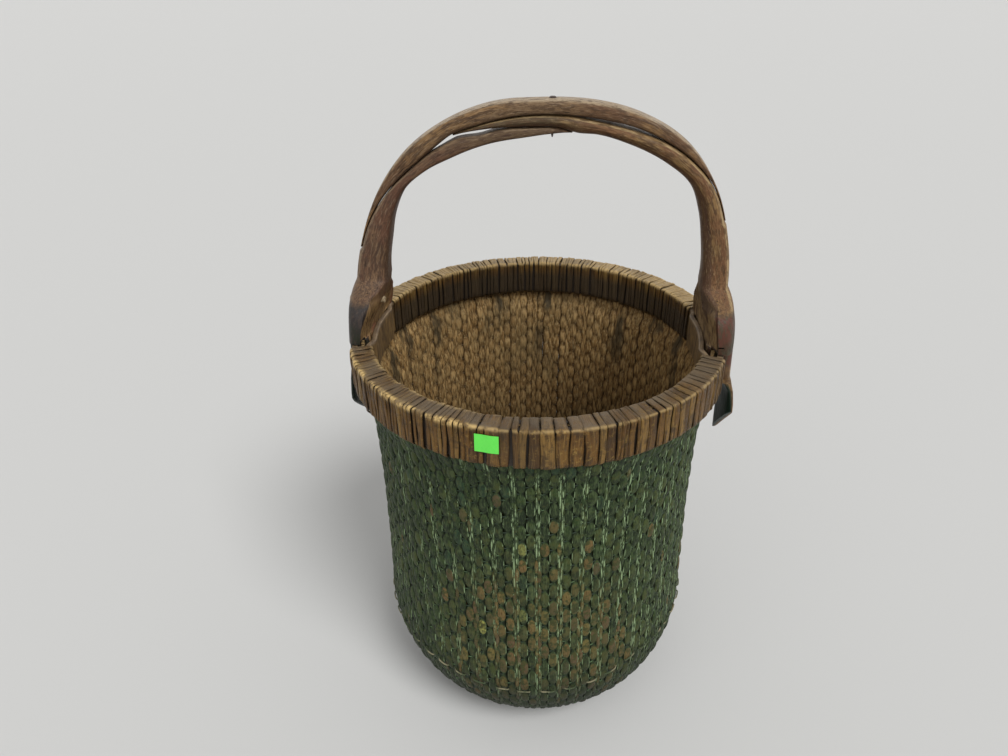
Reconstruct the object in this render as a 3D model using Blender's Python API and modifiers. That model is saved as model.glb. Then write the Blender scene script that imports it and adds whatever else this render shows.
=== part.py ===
# Round willow grain basket: woven body, two wrapped rim hoops and a handle of three bent sticks.
# Metres, +Z up. The handle lies in the XZ plane and the origin is the middle of the base underside.
import math

import bmesh
import bpy

# Clearance left between touching pieces
gap = 0.0003

# Woven body; each height and radius is set from its neighbour
rim_height = 0.500
wall_thickness = 0.0074
wall_top_drop = 0.003
base_radius = 0.090
base_thickness = 0.009
belly_radius = 0.1947
belly_height = 0.137
waist_tuck = 0.0041
neck_spread = 0.0024
mouth_flare = 0.0082
straight_run = 0.008
neck_run = 0.045
waist_run = 0.085
wall_steps = 7
ring_steps = 80

# Pairs of broad rods stand out as upright ribs all round the body
rib_count = 50
rib_depth = 0.0020
rib_turn = math.radians(3.9)

# Twine stitched round the belly of the body
twine_drop = 0.021
twine_radius = 0.0015

# Hoops at the mouth
hoop_depth = 0.040
hoop_drop = 0.002
# At each foot the inner hoop bows in round the inner tongue of the block
hoop_bow = 0.0075
bow_flat_angle = 12.0
bow_end_angle = 17.0
inner_hoop_thickness = 0.0055
outer_hoop_thickness = 0.006
hoop_corner = 0.0012

# Strips wound round the hoops
strip_thickness = 0.0017
strip_ridge = 0.0009
strips_per_arc = 48
bare_half_angle = math.radians(17.6)

# Handle: the sticks are measured from a fan centre, by angle from +X
fan_x = 0.003
fan_height = 0.060
leg_half_width = 0.017
crown_half_width = 0.013
arch_half_width = 0.0125
tip_half_width = 0.009
stick_roundness = 2.4
block_half_length = 0.0585
section_points = 16

# Nail at the crown
nail_x = 0.014
nail_radius = 0.0019
nail_head_radius = 0.0034
nail_head_height = 0.0010
nail_length = 0.0375
nail_clearance = 0.0003

# Peg in the block of the left foot
peg_radius = 0.0036
peg_y = -0.012
peg_height = 0.034
peg_standout = 0.0015


def clear_scene():
    for item in list(bpy.data.objects):
        bpy.data.objects.remove(item, do_unlink=True)
    for item in list(bpy.data.collections):
        bpy.data.collections.remove(item)


def make_collection(name):
    collection = bpy.data.collections.new(name)
    bpy.context.scene.collection.children.link(collection)
    return collection


def make_material(name, color, roughness, metallic=0.0):
    material = bpy.data.materials.new(name)
    material.use_nodes = True
    shader = material.node_tree.nodes["Principled BSDF"]
    shader.inputs["Base Color"].default_value = (color[0], color[1], color[2], 1.0)
    shader.inputs["Roughness"].default_value = roughness
    shader.inputs["Metallic"].default_value = metallic
    return material


def make_object(name, mesh, collection, material=None):
    item = bpy.data.objects.new(name, mesh)
    collection.objects.link(item)
    if material is not None:
        item.data.materials.append(material)
    return item


def smooth_value(keys, at):
    # Smooth curve through (position, value) keys sorted by position
    if at <= keys[0][0]:
        return keys[0][1]
    if at >= keys[-1][0]:
        return keys[-1][1]
    index = 0
    while keys[index + 1][0] < at:
        index += 1
    x0, y0 = keys[index]
    x1, y1 = keys[index + 1]
    slope = (y1 - y0) / (x1 - x0)
    before = slope
    after = slope
    if index > 0:
        left = keys[index - 1]
        before = 0.5 * (slope + (y0 - left[1]) / (x0 - left[0]))
    if index + 2 < len(keys):
        right = keys[index + 2]
        after = 0.5 * (slope + (right[1] - y1) / (right[0] - x1))
    width = x1 - x0
    t = (at - x0) / width
    value = y0 * (1.0 + 2.0 * t) * (1.0 - t) ** 2 + y1 * (3.0 - 2.0 * t) * t ** 2
    return value + width * (before * t * (1.0 - t) ** 2 - after * (1.0 - t) * t ** 2)


def turned(name, profile, closed, collection, material=None):
    # Profile of (radius, height) points turned round Z with a Screw modifier
    mesh = bpy.data.meshes.new(name)
    edges = [(i, i + 1) for i in range(len(profile) - 1)]
    if closed:
        edges.append((len(profile) - 1, 0))
    mesh.from_pydata([(r, 0.0, z) for r, z in profile], edges, [])
    item = make_object(name, mesh, collection, material)
    screw = item.modifiers.new("turn", "SCREW")
    screw.axis = "Z"
    screw.angle = 2.0 * math.pi
    screw.steps = ring_steps
    screw.render_steps = ring_steps
    screw.use_merge_vertices = True
    screw.merge_threshold = 0.00005
    screw.use_smooth_shade = True
    return item


def lofted(name, rings, collection, material=None, endless=False):
    # Closed skin over rings that all have the same number of points
    work = bmesh.new()
    levels = [[work.verts.new(point) for point in ring] for ring in rings]
    count = len(rings[0])
    pairs = list(zip(levels, levels[1:]))
    if endless:
        pairs.append((levels[-1], levels[0]))
    for low, high in pairs:
        for j in range(count):
            k = (j + 1) % count
            work.faces.new((low[j], low[k], high[k], high[j]))
    if not endless:
        work.faces.new(list(reversed(levels[0])))
        work.faces.new(levels[-1])
    bmesh.ops.recalc_face_normals(work, faces=work.faces)
    for face in work.faces:
        face.smooth = len(face.verts) == 4
    mesh = bpy.data.meshes.new(name)
    work.to_mesh(mesh)
    work.free()
    return make_object(name, mesh, collection, material)


def rounded_ring(low_radius, high_radius, low, high, corner):
    # Rectangular hoop section with cut corners, outer side first from the top down
    return [
        (high_radius - corner, high),
        (high_radius, high - corner),
        (high_radius, low + corner),
        (high_radius - corner, low),
        (low_radius + corner, low),
        (low_radius, low + corner),
        (low_radius, high - corner),
        (low_radius + corner, high),
    ]


def cut(item, cutter):
    boolean = item.modifiers.new("cut " + cutter.name, "BOOLEAN")
    boolean.operation = "DIFFERENCE"
    boolean.solver = "EXACT"
    boolean.object = cutter


def make_cutter(item):
    item.hide_render = True
    item.display_type = "WIRE"
    return item


clear_scene()
parts = make_collection("willow_grain_basket")
cutters = make_collection("cutters")

woven_paint = make_material("woven_paint", (0.12, 0.15, 0.07), 0.8)
twine_hemp = make_material("twine_hemp", (0.62, 0.55, 0.42), 0.9)
inner_hoop_wood = make_material("inner_hoop_wood", (0.40, 0.30, 0.20), 0.7)
outer_hoop_wood = make_material("outer_hoop_wood", (0.35, 0.25, 0.15), 0.7)
front_strip_bark = make_material("front_strip_bark", (0.50, 0.36, 0.17), 0.65)
back_strip_bark = make_material("back_strip_bark", (0.48, 0.34, 0.16), 0.65)
left_wood = make_material("left_wood", (0.20, 0.09, 0.05), 0.6)
right_wood = make_material("right_wood", (0.21, 0.10, 0.05), 0.6)
arch_wood = make_material("arch_wood", (0.22, 0.12, 0.07), 0.6)
nail_iron = make_material("nail_iron", (0.16, 0.12, 0.10), 0.6, 0.8)
peg_wood = make_material("peg_wood", (0.62, 0.50, 0.34), 0.7)

# Woven body: rounded bottom, belly, waist and flared mouth, open at the top
wall_top = rim_height - wall_top_drop
mouth_height = rim_height - hoop_drop - hoop_depth - straight_run
neck_height = mouth_height - neck_run
waist_height = neck_height - waist_run
waist_radius = belly_radius - waist_tuck
neck_radius = waist_radius + neck_spread
mouth_radius = neck_radius + mouth_flare
wall_keys = [
    (belly_height, belly_radius),
    (0.5 * (belly_height + waist_height), 0.5 * (belly_radius + waist_radius) - 0.0010),
    (waist_height, waist_radius),
    (neck_height, neck_radius),
    (0.5 * (neck_height + mouth_height), 0.5 * (neck_radius + mouth_radius) - 0.0020),
    (mouth_height, mouth_radius),
    (wall_top, mouth_radius),
]
wall_heights = [wall_top]
for step in range(wall_steps + 1):
    wall_heights.append(mouth_height + (belly_height - mouth_height) * step / wall_steps)
corner_steps = 6
corner_angles = [0.5 * math.pi * step / corner_steps for step in range(1, corner_steps + 1)]
# One row of the rounding lies where the twine sits
twine_height = belly_height - twine_drop
twine_angle = math.asin(1.0 - twine_height / belly_height)
corner_angles = sorted(corner_angles + [twine_angle])


def outer_corner(angle):
    radius = base_radius + (belly_radius - base_radius) * math.cos(angle)
    return radius, belly_height * (1.0 - math.sin(angle))


def inner_corner(angle):
    low = base_radius - wall_thickness
    radius = low + (belly_radius - wall_thickness - low) * math.cos(angle)
    return radius, belly_height - (belly_height - base_thickness) * math.sin(angle)


def body_ring(radius, height, depth):
    # Level ring with two points to a rib: the first on its crest, the second in the groove
    ring = []
    for index in range(2 * rib_count):
        angle = rib_turn + math.pi * index / rib_count
        reach = radius - depth * (index % 2)
        ring.append((reach * math.cos(angle), reach * math.sin(angle), height))
    return ring


outer_side = [(smooth_value(wall_keys, height), height) for height in wall_heights]
outer_side += [outer_corner(angle) for angle in corner_angles]
inner_side = [(radius - wall_thickness, height) for radius, height in outer_side[:len(wall_heights)]]
inner_side += [inner_corner(angle) for angle in corner_angles]
body_rings = [body_ring(radius, height, 0.0) for radius, height in reversed(inner_side)]
body_rings.append(body_ring(mouth_radius, wall_top, 0.0))
for radius, height in outer_side[1:]:
    body_rings.append(body_ring(radius, height, rib_depth * radius / belly_radius))
woven_body = lofted("woven_body", body_rings, parts, woven_paint)

# Twine round the belly of the body, lying on the rods
twine_r, twine_z = outer_corner(twine_angle)
twine_rise = -math.sin(twine_angle) / belly_height
away = math.atan2(twine_rise, math.cos(twine_angle) / (belly_radius - base_radius))
twine_r += (twine_radius + gap) * math.cos(away)
twine_z += (twine_radius + gap) * math.sin(away)
twine_profile = []
for step in range(5):
    turn = away + math.pi - 2.0 * math.pi * step / 5.0
    twine_x = twine_r + twine_radius * math.cos(turn)
    twine_profile.append((twine_x, twine_z + twine_radius * math.sin(turn)))
base_twine = turned("base_twine", twine_profile, True, parts, twine_hemp)

# Hoops on both sides of the wall
hoop_top = rim_height - hoop_drop
hoop_low = hoop_top - hoop_depth
inner_hoop_out = mouth_radius - wall_thickness - gap
inner_hoop_in = inner_hoop_out - inner_hoop_thickness
outer_hoop_in = mouth_radius + gap
outer_hoop_out = outer_hoop_in + outer_hoop_thickness
inner_section = rounded_ring(inner_hoop_in, inner_hoop_out, hoop_low, hoop_top, hoop_corner)
outer_section = [
    (outer_hoop_out, hoop_top),
    (outer_hoop_out, hoop_low),
    (outer_hoop_in, hoop_low),
    (outer_hoop_in, hoop_top),
]
outer_hoop = turned("outer_hoop", outer_section, True, parts, outer_hoop_wood)


def bow_at(angle):
    # How far the inner hoop stands in from its circle, by degrees from the nearer foot
    share = min(max((bow_end_angle - angle) / (bow_end_angle - bow_flat_angle), 0.0), 1.0)
    return hoop_bow * share * share * (3.0 - 2.0 * share)


ring_angles = [360.0 * step / ring_steps for step in range(ring_steps)]
bow_angles = [bow_flat_angle, 15.0, 16.0]
for foot_angle in (0.0, 180.0):
    for side in (-1, 1):
        ring_angles += [(foot_angle + side * angle) % 360.0 for angle in bow_angles]
ring_angles.sort()
hoop_rings = []
for angle in ring_angles:
    off_foot = min(angle % 180.0, 180.0 - angle % 180.0)
    turn = math.radians(angle)
    ring = []
    for radius, height in inner_section:
        radius -= bow_at(off_foot)
        ring.append((radius * math.cos(turn), radius * math.sin(turn), height))
    hoop_rings.append(ring)
inner_hoop = lofted("inner_hoop", hoop_rings, parts, inner_hoop_wood, True)


def binding_section(ridge):
    # Open C round both hoops; only its outer side moves in by the ridge height
    inside_in = inner_hoop_in - 1.6 * gap
    inside_out = outer_hoop_out + 1.1 * gap
    inside_top = hoop_top + gap
    inside_low = hoop_low - gap
    out_in = inside_in - strip_thickness + ridge
    out_out = inside_out + strip_thickness + strip_ridge - ridge
    out_top = inside_top + strip_thickness - ridge
    out_low = inside_low - strip_thickness + ridge
    lip_out = mouth_radius + 3.0 * gap
    lip_in = mouth_radius - wall_thickness - 3.0 * gap
    bend = 0.0022
    return [
        (lip_out, out_low),
        (out_out - bend, out_low),
        (out_out, out_low + bend),
        (out_out, out_top - bend),
        (out_out - bend, out_top),
        (out_in + bend, out_top),
        (out_in, out_top - bend),
        (out_in, out_low + bend),
        (out_in + bend, out_low),
        (lip_in, out_low),
        (lip_in, inside_low),
        (inside_in, inside_low),
        (inside_in, inside_top),
        (inside_out, inside_top),
        (inside_out, inside_low),
        (lip_out, inside_low),
    ]


def binding(name, start, end, material):
    rings = []
    stations = 2 * strips_per_arc
    for station in range(stations + 1):
        angle = start + (end - start) * station / stations
        ridge = strip_ridge * (station % 2)
        ring = []
        for radius, height in binding_section(ridge):
            ring.append((radius * math.cos(angle), radius * math.sin(angle), height))
        rings.append(ring)
    return lofted(name, rings, parts, material)


binding("rim_binding_front", math.pi + bare_half_angle, 2.0 * math.pi - bare_half_angle, front_strip_bark)
binding("rim_binding_back", bare_half_angle, math.pi - bare_half_angle, back_strip_bark)

# Handle curves: distance from the fan centre against angle in degrees, less the mouth radius
outline_keys = [
    (0, -0.0002), (15, -0.0002), (30, 0.0033), (45, 0.0043), (60, -0.0022),
    (75, -0.0097), (90, -0.0142), (105, -0.0117), (120, -0.0097), (135, -0.0072),
    (150, -0.0067), (165, -0.0052), (180, 0.0008),
]
arch_under_keys = [
    (20, -0.0007), (30, 0.001), (40, -0.0027), (50, -0.0092), (60, -0.0162), (70, -0.0232),
    (80, -0.027), (90, -0.0284), (110, -0.0277), (120, -0.0244), (125, -0.025), (130, -0.0254),
    (140, -0.0222), (150, -0.0155), (160, -0.0095), (170, -0.0055),
]
right_under_keys = [
    (0, -0.0292), (15, -0.0266), (25, -0.0217), (35, -0.0177), (45, -0.0237), (60, -0.0332),
    (70, -0.0382), (77, -0.0424), (84, -0.0401), (92, -0.0406), (100, -0.0387),
    (110, -0.0337), (120, -0.028),
]
left_under_keys = [
    (82, -0.0449), (86, -0.0467), (97, -0.0497), (110, -0.048), (125, -0.0427),
    (135, -0.0357), (145, -0.0302), (155, -0.0317), (165, -0.0352), (180, -0.0347),
]
right_slit_keys = [(44, 0.0), (50, 0.0012), (62, 0.0034), (70, 0.0026), (80, 0.0)]
left_slit_keys = [(104, 0.0), (110, 0.0008), (116, 0.0022), (125, 0.0026), (130, 0.0002), (135, 0.0)]
# All sticks share the same angles, so facets that face each other stay parallel
fan_step = 5
arch_start = 20
arch_end = 170
right_tip = 120
left_tip = 85


def outline(angle):
    return mouth_radius + smooth_value(outline_keys, angle)


def arch_under(angle):
    return mouth_radius + smooth_value(arch_under_keys, angle)


def right_top(angle):
    if angle < arch_start:
        return outline(angle)
    return min(outline(angle), arch_under(angle) - gap) - smooth_value(right_slit_keys, angle)


def right_under(angle):
    return mouth_radius + smooth_value(right_under_keys, angle)


def left_top(angle):
    if angle > arch_end:
        return outline(angle)
    carried = right_under(angle) if angle <= right_tip else min(outline(angle) + gap, arch_under(angle))
    return carried - gap - smooth_value(left_slit_keys, angle)


def left_under(angle):
    return mouth_radius + smooth_value(left_under_keys, angle)


def rounded_point(index, squareness):
    turn = 2.0 * math.pi * index / section_points
    across = math.cos(turn)
    along = math.sin(turn)
    power = 2.0 / squareness
    x = math.copysign(abs(across) ** power, across) if abs(across) > 1e-9 else 0.0
    y = math.copysign(abs(along) ** power, along) if abs(along) > 1e-9 else 0.0
    return x, y


def fan_ring(angle, low, high, half_width):
    # Section of a stick in the plane through the fan centre at this angle
    ring = []
    turn = math.radians(angle)
    for index in range(section_points):
        x, y = rounded_point(index, stick_roundness)
        radius = 0.5 * (low + high) + 0.5 * (high - low) * x
        height = rim_height + fan_height + radius * math.sin(turn)
        ring.append((fan_x + radius * math.cos(turn), half_width * y, height))
    return ring


def foot_ring(side, height, low, high, half_width, centre_y, squareness, follow_in, follow_out, tilt):
    # Level section of a foot; the two follows bend its faces round the rim, tilt slopes it along Y
    ring = []
    for index in range(section_points):
        x, y = rounded_point(index, squareness)
        along = centre_y + half_width * y
        radius = 0.5 * (low + high) + 0.5 * (high - low) * x
        follow = 0.5 * (follow_in + follow_out) + 0.5 * (follow_out - follow_in) * x
        radius -= follow * along * along / (2.0 * mouth_radius)
        ring.append((side * radius, along, rim_height + height + tilt * half_width * y))
    return ring


def stick_width(angle, tip, foot):
    # Half width from the leg to the tip of a branch
    share = abs(angle - foot) / abs(tip - foot)
    keys = [(0.0, leg_half_width), (0.45, 0.0145), (0.7, crown_half_width), (1.0, tip_half_width)]
    return smooth_value(keys, share)


# Each foot is a block of trunk wood that stands on the rim. Its outer tail passes outside the
# outer hoop and its inner tongue stands between the wall and the bowed inner hoop.
tongue_in = inner_hoop_out - hoop_bow + gap
tongue_low = -hoop_depth
tail_in = outer_hoop_out + 3.0 * gap
block_half = block_half_length

# Faces of the two feet, and the heights at which they narrow into the legs
left_face = mouth_radius + 0.0098
right_face = mouth_radius + 0.0148
block_in = tongue_in - 0.0033
tail_low = -0.102
foot_top = fan_height - 0.003
foot_neck = fan_height - 0.007
foot_shoulder = fan_height - 0.014
foot_crown = fan_height - 0.023
foot_side = 0.026
foot_base = 0.012
leg_half = leg_half_width

# Left leg: tail, block, leg, then the branch over the crown to its tip
left_rows = [
    (tail_low, tail_in, tail_in + 0.0040, 0.0265, -0.0215, 3.0, 0.5, 0.5, -0.85),
    (-2.0 * hoop_depth, tail_in, tail_in + 0.0044, 0.0280, -0.0200, 3.5, 0.5, 0.5, -0.35),
    (tongue_low - 0.010, tail_in, tail_in + 0.0044, 0.0340, -0.0140, 4.5, 0.5, 0.5, 0.0),
    (tongue_low - 0.001, tail_in, tail_in + 0.0042, 0.0370, -0.0090, 5.0, 0.9, 0.7, 0.0),
    (tongue_low, tongue_in, tail_in + 0.0040, 0.0375, -0.0030, 6.0, 1.0, 0.7, 0.0),
    (-0.003, tongue_in, left_face + 0.0010, 0.0400, 0.0, 6.0, 1.0, 0.9, 0.0),
    (-0.001, tongue_in, left_face, block_half, 0.0, 3.4, 1.0, 1.0, 0.0),
    (foot_base, block_in, left_face - 0.0010, block_half, 0.0, 3.4, 1.0, 1.0, 0.0),
    (foot_side, block_in - 0.0060, left_face - 0.0025, block_half - 0.0050, -0.0035, 3.4, 0.95, 0.95, 0.0),
    (foot_crown, block_in - 0.0115, left_face - 0.0042, leg_half + 0.0290, -0.0080, 3.2, 0.85, 0.85, 0.0),
    (foot_shoulder, block_in - 0.0155, left_face - 0.0065, leg_half + 0.0185, -0.0105, 3.0, 0.7, 0.7, 0.0),
    (foot_neck, block_in - 0.0180, left_face - 0.0090, leg_half + 0.0085, -0.0075, 2.8, 0.45, 0.45, 0.0),
    (foot_top, block_in - 0.0190, left_face - 0.0110, leg_half + 0.0030, -0.0030, 2.6, 0.2, 0.2, 0.0),
]
left_rings = [foot_ring(-1, *row) for row in left_rows]
for angle in range(180, left_tip - 1, -fan_step):
    width = stick_width(angle, left_tip, 180)
    left_rings.append(fan_ring(angle, left_under(angle), left_top(angle), width))
left_leg = lofted("left_leg", left_rings, parts, left_wood)

# Right leg, with a tail that springs outwards and an oblique end
right_block = block_in + 0.0020
right_rows = [
    (tail_low - 0.003, right_face - 0.0045, right_face + 0.0020, 0.0275, -0.0225, 3.0, -0.7, -0.7, -0.90),
    (-0.078, right_face - 0.0052, right_face + 0.0014, 0.0280, -0.0225, 4.0, -0.6, -0.6, -0.45),
    (tongue_low - 0.010, right_face - 0.0062, right_face + 0.0008, 0.0310, -0.0190, 5.0, -0.3, -0.3, 0.0),
    (tongue_low - 0.001, tail_in, right_face + 0.0005, 0.0350, -0.0130, 5.0, 0.5, 0.1, 0.0),
    (tongue_low, tongue_in, right_face + 0.0005, 0.0375, -0.0030, 6.0, 1.0, 0.1, 0.0),
    (-0.003, tongue_in, right_face + 0.0005, 0.0400, 0.0, 6.0, 1.0, 0.6, 0.0),
    (-0.001, tongue_in, right_face + 0.0005, block_half, 0.0, 3.6, 1.0, 0.9, 0.0),
    (foot_base, right_block, right_face, block_half, 0.0, 3.6, 1.0, 0.9, 0.0),
    (foot_side, right_block - 0.0035, right_face - 0.0015, block_half - 0.005, -0.0035, 3.6, 0.95, 0.9, 0.0),
    (foot_crown, right_block - 0.0065, right_face - 0.0038, leg_half + 0.029, -0.008, 3.4, 0.85, 0.85, 0.0),
    (foot_shoulder, right_block - 0.0085, right_face - 0.0062, leg_half + 0.0185, -0.0105, 3.0, 0.7, 0.7, 0),
    (foot_neck, right_block - 0.0095, right_face - 0.0092, leg_half + 0.0085, -0.0075, 2.8, 0.45, 0.45, 0),
    (foot_top, right_block - 0.0100, right_face - 0.0115, leg_half + 0.0030, -0.0030, 2.6, 0.2, 0.2, 0.0),
]
right_rings = [foot_ring(1, *row) for row in right_rows]
for angle in range(0, right_tip + 1, fan_step):
    width = stick_width(angle, right_tip, 0)
    right_rings.append(fan_ring(angle, right_under(angle), right_top(angle), width))
right_leg = lofted("right_leg", right_rings, parts, right_wood)

# Third stick, bent over both branches and thinned to nothing at both ends
arch_rings = []
for angle in range(arch_start, arch_end + 1, fan_step):
    low = arch_under(angle)
    high = max(outline(angle), low + 0.0012)
    width_keys = [(arch_start, 0.007), (45, 0.0115), (95, arch_half_width), (145, 0.0115), (arch_end, 0.007)]
    arch_rings.append(fan_ring(angle, low, high, smooth_value(width_keys, angle)))
upper_arch = lofted("upper_arch", arch_rings, parts, arch_wood)

# The feet are notched over the wall and the outer hoop
notch_out = outer_hoop_out + gap
notch_in = mouth_radius - wall_thickness - gap
notch_profile = [
    (notch_out, rim_height + gap),
    (notch_out, rim_height + tail_low - 0.038),
    (notch_in, rim_height + tail_low - 0.038),
    (notch_in, rim_height + gap),
]
rim_notch = make_cutter(turned("rim_notch", notch_profile, True, cutters))
cut(left_leg, rim_notch)
cut(right_leg, rim_notch)

# Nail through the crown
nail_angle = math.degrees(math.acos((nail_x - fan_x) / outline(87.0)))
nail_seat = rim_height + fan_height + outline(nail_angle) * math.sin(math.radians(nail_angle)) + gap
nail_profile = [
    (0.0, nail_seat + nail_head_height),
    (nail_head_radius * 0.75, nail_seat + nail_head_height),
    (nail_head_radius, nail_seat + 0.4 * nail_head_height),
    (nail_head_radius, nail_seat),
    (nail_radius, nail_seat),
    (nail_radius, nail_seat - nail_length + 0.006),
    (0.0006, nail_seat - nail_length),
    (0.0, nail_seat - nail_length),
]
crown_nail = turned("crown_nail", nail_profile, False, parts, nail_iron)
crown_nail.location.x = nail_x
crown_nail.modifiers["turn"].steps = 20
crown_nail.modifiers["turn"].render_steps = 20

bpy.ops.mesh.primitive_cylinder_add(
    vertices=20,
    radius=nail_radius + nail_clearance,
    depth=0.080,
    location=(nail_x, 0.0, nail_seat - 0.020),
)
nail_hole = bpy.context.active_object
nail_hole.name = "nail_hole"
for home in list(nail_hole.users_collection):
    home.objects.unlink(nail_hole)
cutters.objects.link(make_cutter(nail_hole))
cut(left_leg, nail_hole)
cut(right_leg, nail_hole)
cut(upper_arch, nail_hole)

# Peg through the block of the left foot
peg_in = mouth_radius - 0.0302
peg_out = mouth_radius + 0.0073
bpy.ops.mesh.primitive_cylinder_add(
    vertices=16,
    radius=peg_radius,
    depth=peg_out - peg_in + peg_standout,
    location=(-0.5 * (peg_in + peg_out - peg_standout), peg_y, rim_height + peg_height),
    rotation=(0.0, math.pi / 2.0, 0.0),
)
left_foot_peg = bpy.context.active_object
left_foot_peg.name = "left_foot_peg"
left_foot_peg.data.name = "left_foot_peg"
left_foot_peg.data.materials.append(peg_wood)
for home in list(left_foot_peg.users_collection):
    home.objects.unlink(left_foot_peg)
parts.objects.link(left_foot_peg)

bpy.ops.mesh.primitive_cylinder_add(
    vertices=16,
    radius=peg_radius + gap,
    depth=0.080,
    location=(-0.5 * (peg_in + peg_out), peg_y, rim_height + peg_height),
    rotation=(0.0, math.pi / 2.0, 0.0),
)
peg_hole = bpy.context.active_object
peg_hole.name = "peg_hole"
for home in list(peg_hole.users_collection):
    home.objects.unlink(peg_hole)
cutters.objects.link(make_cutter(peg_hole))
cut(left_leg, peg_hole)
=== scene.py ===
import math

import bpy
import numpy as np
from mathutils import Matrix


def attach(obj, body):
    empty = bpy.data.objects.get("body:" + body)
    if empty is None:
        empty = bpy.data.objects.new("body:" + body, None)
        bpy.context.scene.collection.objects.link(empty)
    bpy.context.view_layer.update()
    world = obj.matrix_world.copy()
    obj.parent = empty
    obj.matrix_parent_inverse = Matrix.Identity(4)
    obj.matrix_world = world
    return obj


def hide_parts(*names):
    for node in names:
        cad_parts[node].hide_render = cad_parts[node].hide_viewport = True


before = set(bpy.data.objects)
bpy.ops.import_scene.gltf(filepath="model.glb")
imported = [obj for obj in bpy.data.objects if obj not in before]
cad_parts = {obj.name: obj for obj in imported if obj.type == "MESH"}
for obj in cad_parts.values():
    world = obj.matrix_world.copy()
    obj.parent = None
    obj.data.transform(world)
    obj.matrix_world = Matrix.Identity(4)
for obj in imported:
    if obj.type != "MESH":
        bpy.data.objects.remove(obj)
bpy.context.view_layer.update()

print("frame loaded")


# shared modelling steps
def deselectAll():
    if bpy.context.object is not None and bpy.context.object.mode != "OBJECT":
        bpy.ops.object.mode_set(mode="OBJECT")
    bpy.ops.object.select_all(action="DESELECT")


def smoothCurve(keys, at):
    # same smooth curve through (position, value) keys as the CAD source uses
    if at <= keys[0][0]:
        return keys[0][1]
    if at >= keys[-1][0]:
        return keys[-1][1]
    index = 0
    while keys[index + 1][0] < at:
        index += 1
    x0, y0 = keys[index]
    x1, y1 = keys[index + 1]
    slope = (y1 - y0) / (x1 - x0)
    before = after = slope
    if index > 0:
        left = keys[index - 1]
        before = 0.5 * (slope + (y0 - left[1]) / (x0 - left[0]))
    if index + 2 < len(keys):
        right = keys[index + 2]
        after = 0.5 * (slope + (right[1] - y1) / (right[0] - x1))
    width = x1 - x0
    t = (at - x0) / width
    value = y0 * (1.0 + 2.0 * t) * (1.0 - t) ** 2 + y1 * (3.0 - 2.0 * t) * t ** 2
    return value + width * (before * t * (1.0 - t) ** 2 - after * (1.0 - t) * t ** 2)


def softStep(low, high, value):
    share = np.clip((value - low) / (high - low), 0.0, 1.0)
    return share * share * (3.0 - 2.0 * share)


def wander(count, step, seed):
    # smooth random values, one for each of count stations, knots every step stations
    rng = np.random.default_rng(seed)
    knots = rng.uniform(-1.0, 1.0, int(count / step) + 4)
    at = np.arange(count) / step
    low = at.astype(int)
    share = at - low
    share = share * share * (3.0 - 2.0 * share)
    return knots[low] * (1.0 - share) + knots[low + 1] * share


def gridSleeve(name, stations, around):
    # a flat grid that is moved round into a tube: U runs along it, V round it
    deselectAll()
    bpy.ops.mesh.primitive_grid_add(x_subdivisions=stations - 1, y_subdivisions=around, size=1.0)
    sleeve = bpy.context.active_object
    sleeve.name = name
    sleeve.data.name = name
    flat = readPoints(sleeve)
    column = np.rint((flat[:, 0] + 0.5) * (stations - 1)).astype(int)
    row = np.rint((flat[:, 1] + 0.5) * around).astype(int)
    return sleeve, column, row


def readPoints(item):
    points = np.empty(len(item.data.vertices) * 3, dtype=np.float32)
    item.data.vertices.foreach_get("co", points)
    return points.reshape(-1, 3).astype(np.float64)


def movePoints(item, points):
    item.data.vertices.foreach_set("co", np.asarray(points, dtype=np.float32).ravel())
    item.data.update()


def roundAxis(radius, turn, level):
    return np.stack([radius * np.cos(turn), radius * np.sin(turn), level], 1)


def paintPoints(item, name, values):
    # one number for each point, read in the materials by an Attribute node
    layer = item.data.attributes.get(name)
    if layer is None:
        layer = item.data.attributes.new(name, "FLOAT", "POINT")
    layer.data.foreach_set("value", np.asarray(values, dtype=np.float32).ravel())


def nextCopy(master, isLast):
    # the last piece of a row is the master itself
    if isLast:
        return master
    copy = master.copy()
    copy.data = master.data.copy()
    bpy.context.scene.collection.objects.link(copy)
    return copy


def dress(piece, finish):
    piece.data.materials.clear()
    piece.data.materials.append(finish)


def hangOn(piece, node):
    # every piece rides on the one body and stands for its CAD node
    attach(piece, "root")
    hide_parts(node)


def closeSeams(item):
    # merge the seam of each sleeve, cap its ends and turn all faces outwards
    deselectAll()
    item.select_set(True)
    bpy.context.view_layer.objects.active = item
    bpy.ops.object.mode_set(mode="EDIT")
    bpy.ops.mesh.select_all(action="SELECT")
    bpy.ops.mesh.remove_doubles(threshold=0.000002)
    bpy.ops.mesh.select_all(action="SELECT")
    bpy.ops.mesh.fill_holes(sides=0)
    bpy.ops.mesh.select_all(action="SELECT")
    bpy.ops.mesh.normals_make_consistent(inside=False)
    bpy.ops.object.mode_set(mode="OBJECT")
    bpy.ops.object.shade_smooth()


def joinAll(pieces, name):
    deselectAll()
    for piece in pieces:
        piece.select_set(True)
    bpy.context.view_layer.objects.active = pieces[0]
    if len(pieces) > 1:
        bpy.ops.object.join()
    joined = bpy.context.view_layer.objects.active
    joined.name = name
    joined.data.name = name
    closeSeams(joined)
    return joined


# shared material steps: each one adds its node to the finish in work
ink = {}


def newFinish(name, roughness, glint=0.5):
    finish = bpy.data.materials.new(name)
    finish.use_nodes = True
    shader = finish.node_tree.nodes["Principled BSDF"]
    shader.inputs["Roughness"].default_value = roughness
    shader.inputs["Specular IOR Level"].default_value = glint
    ink.update({"finish": finish, "tree": finish.node_tree, "shader": shader})


def addNode(kind):
    return ink["tree"].nodes.new("ShaderNode" + kind)


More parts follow.
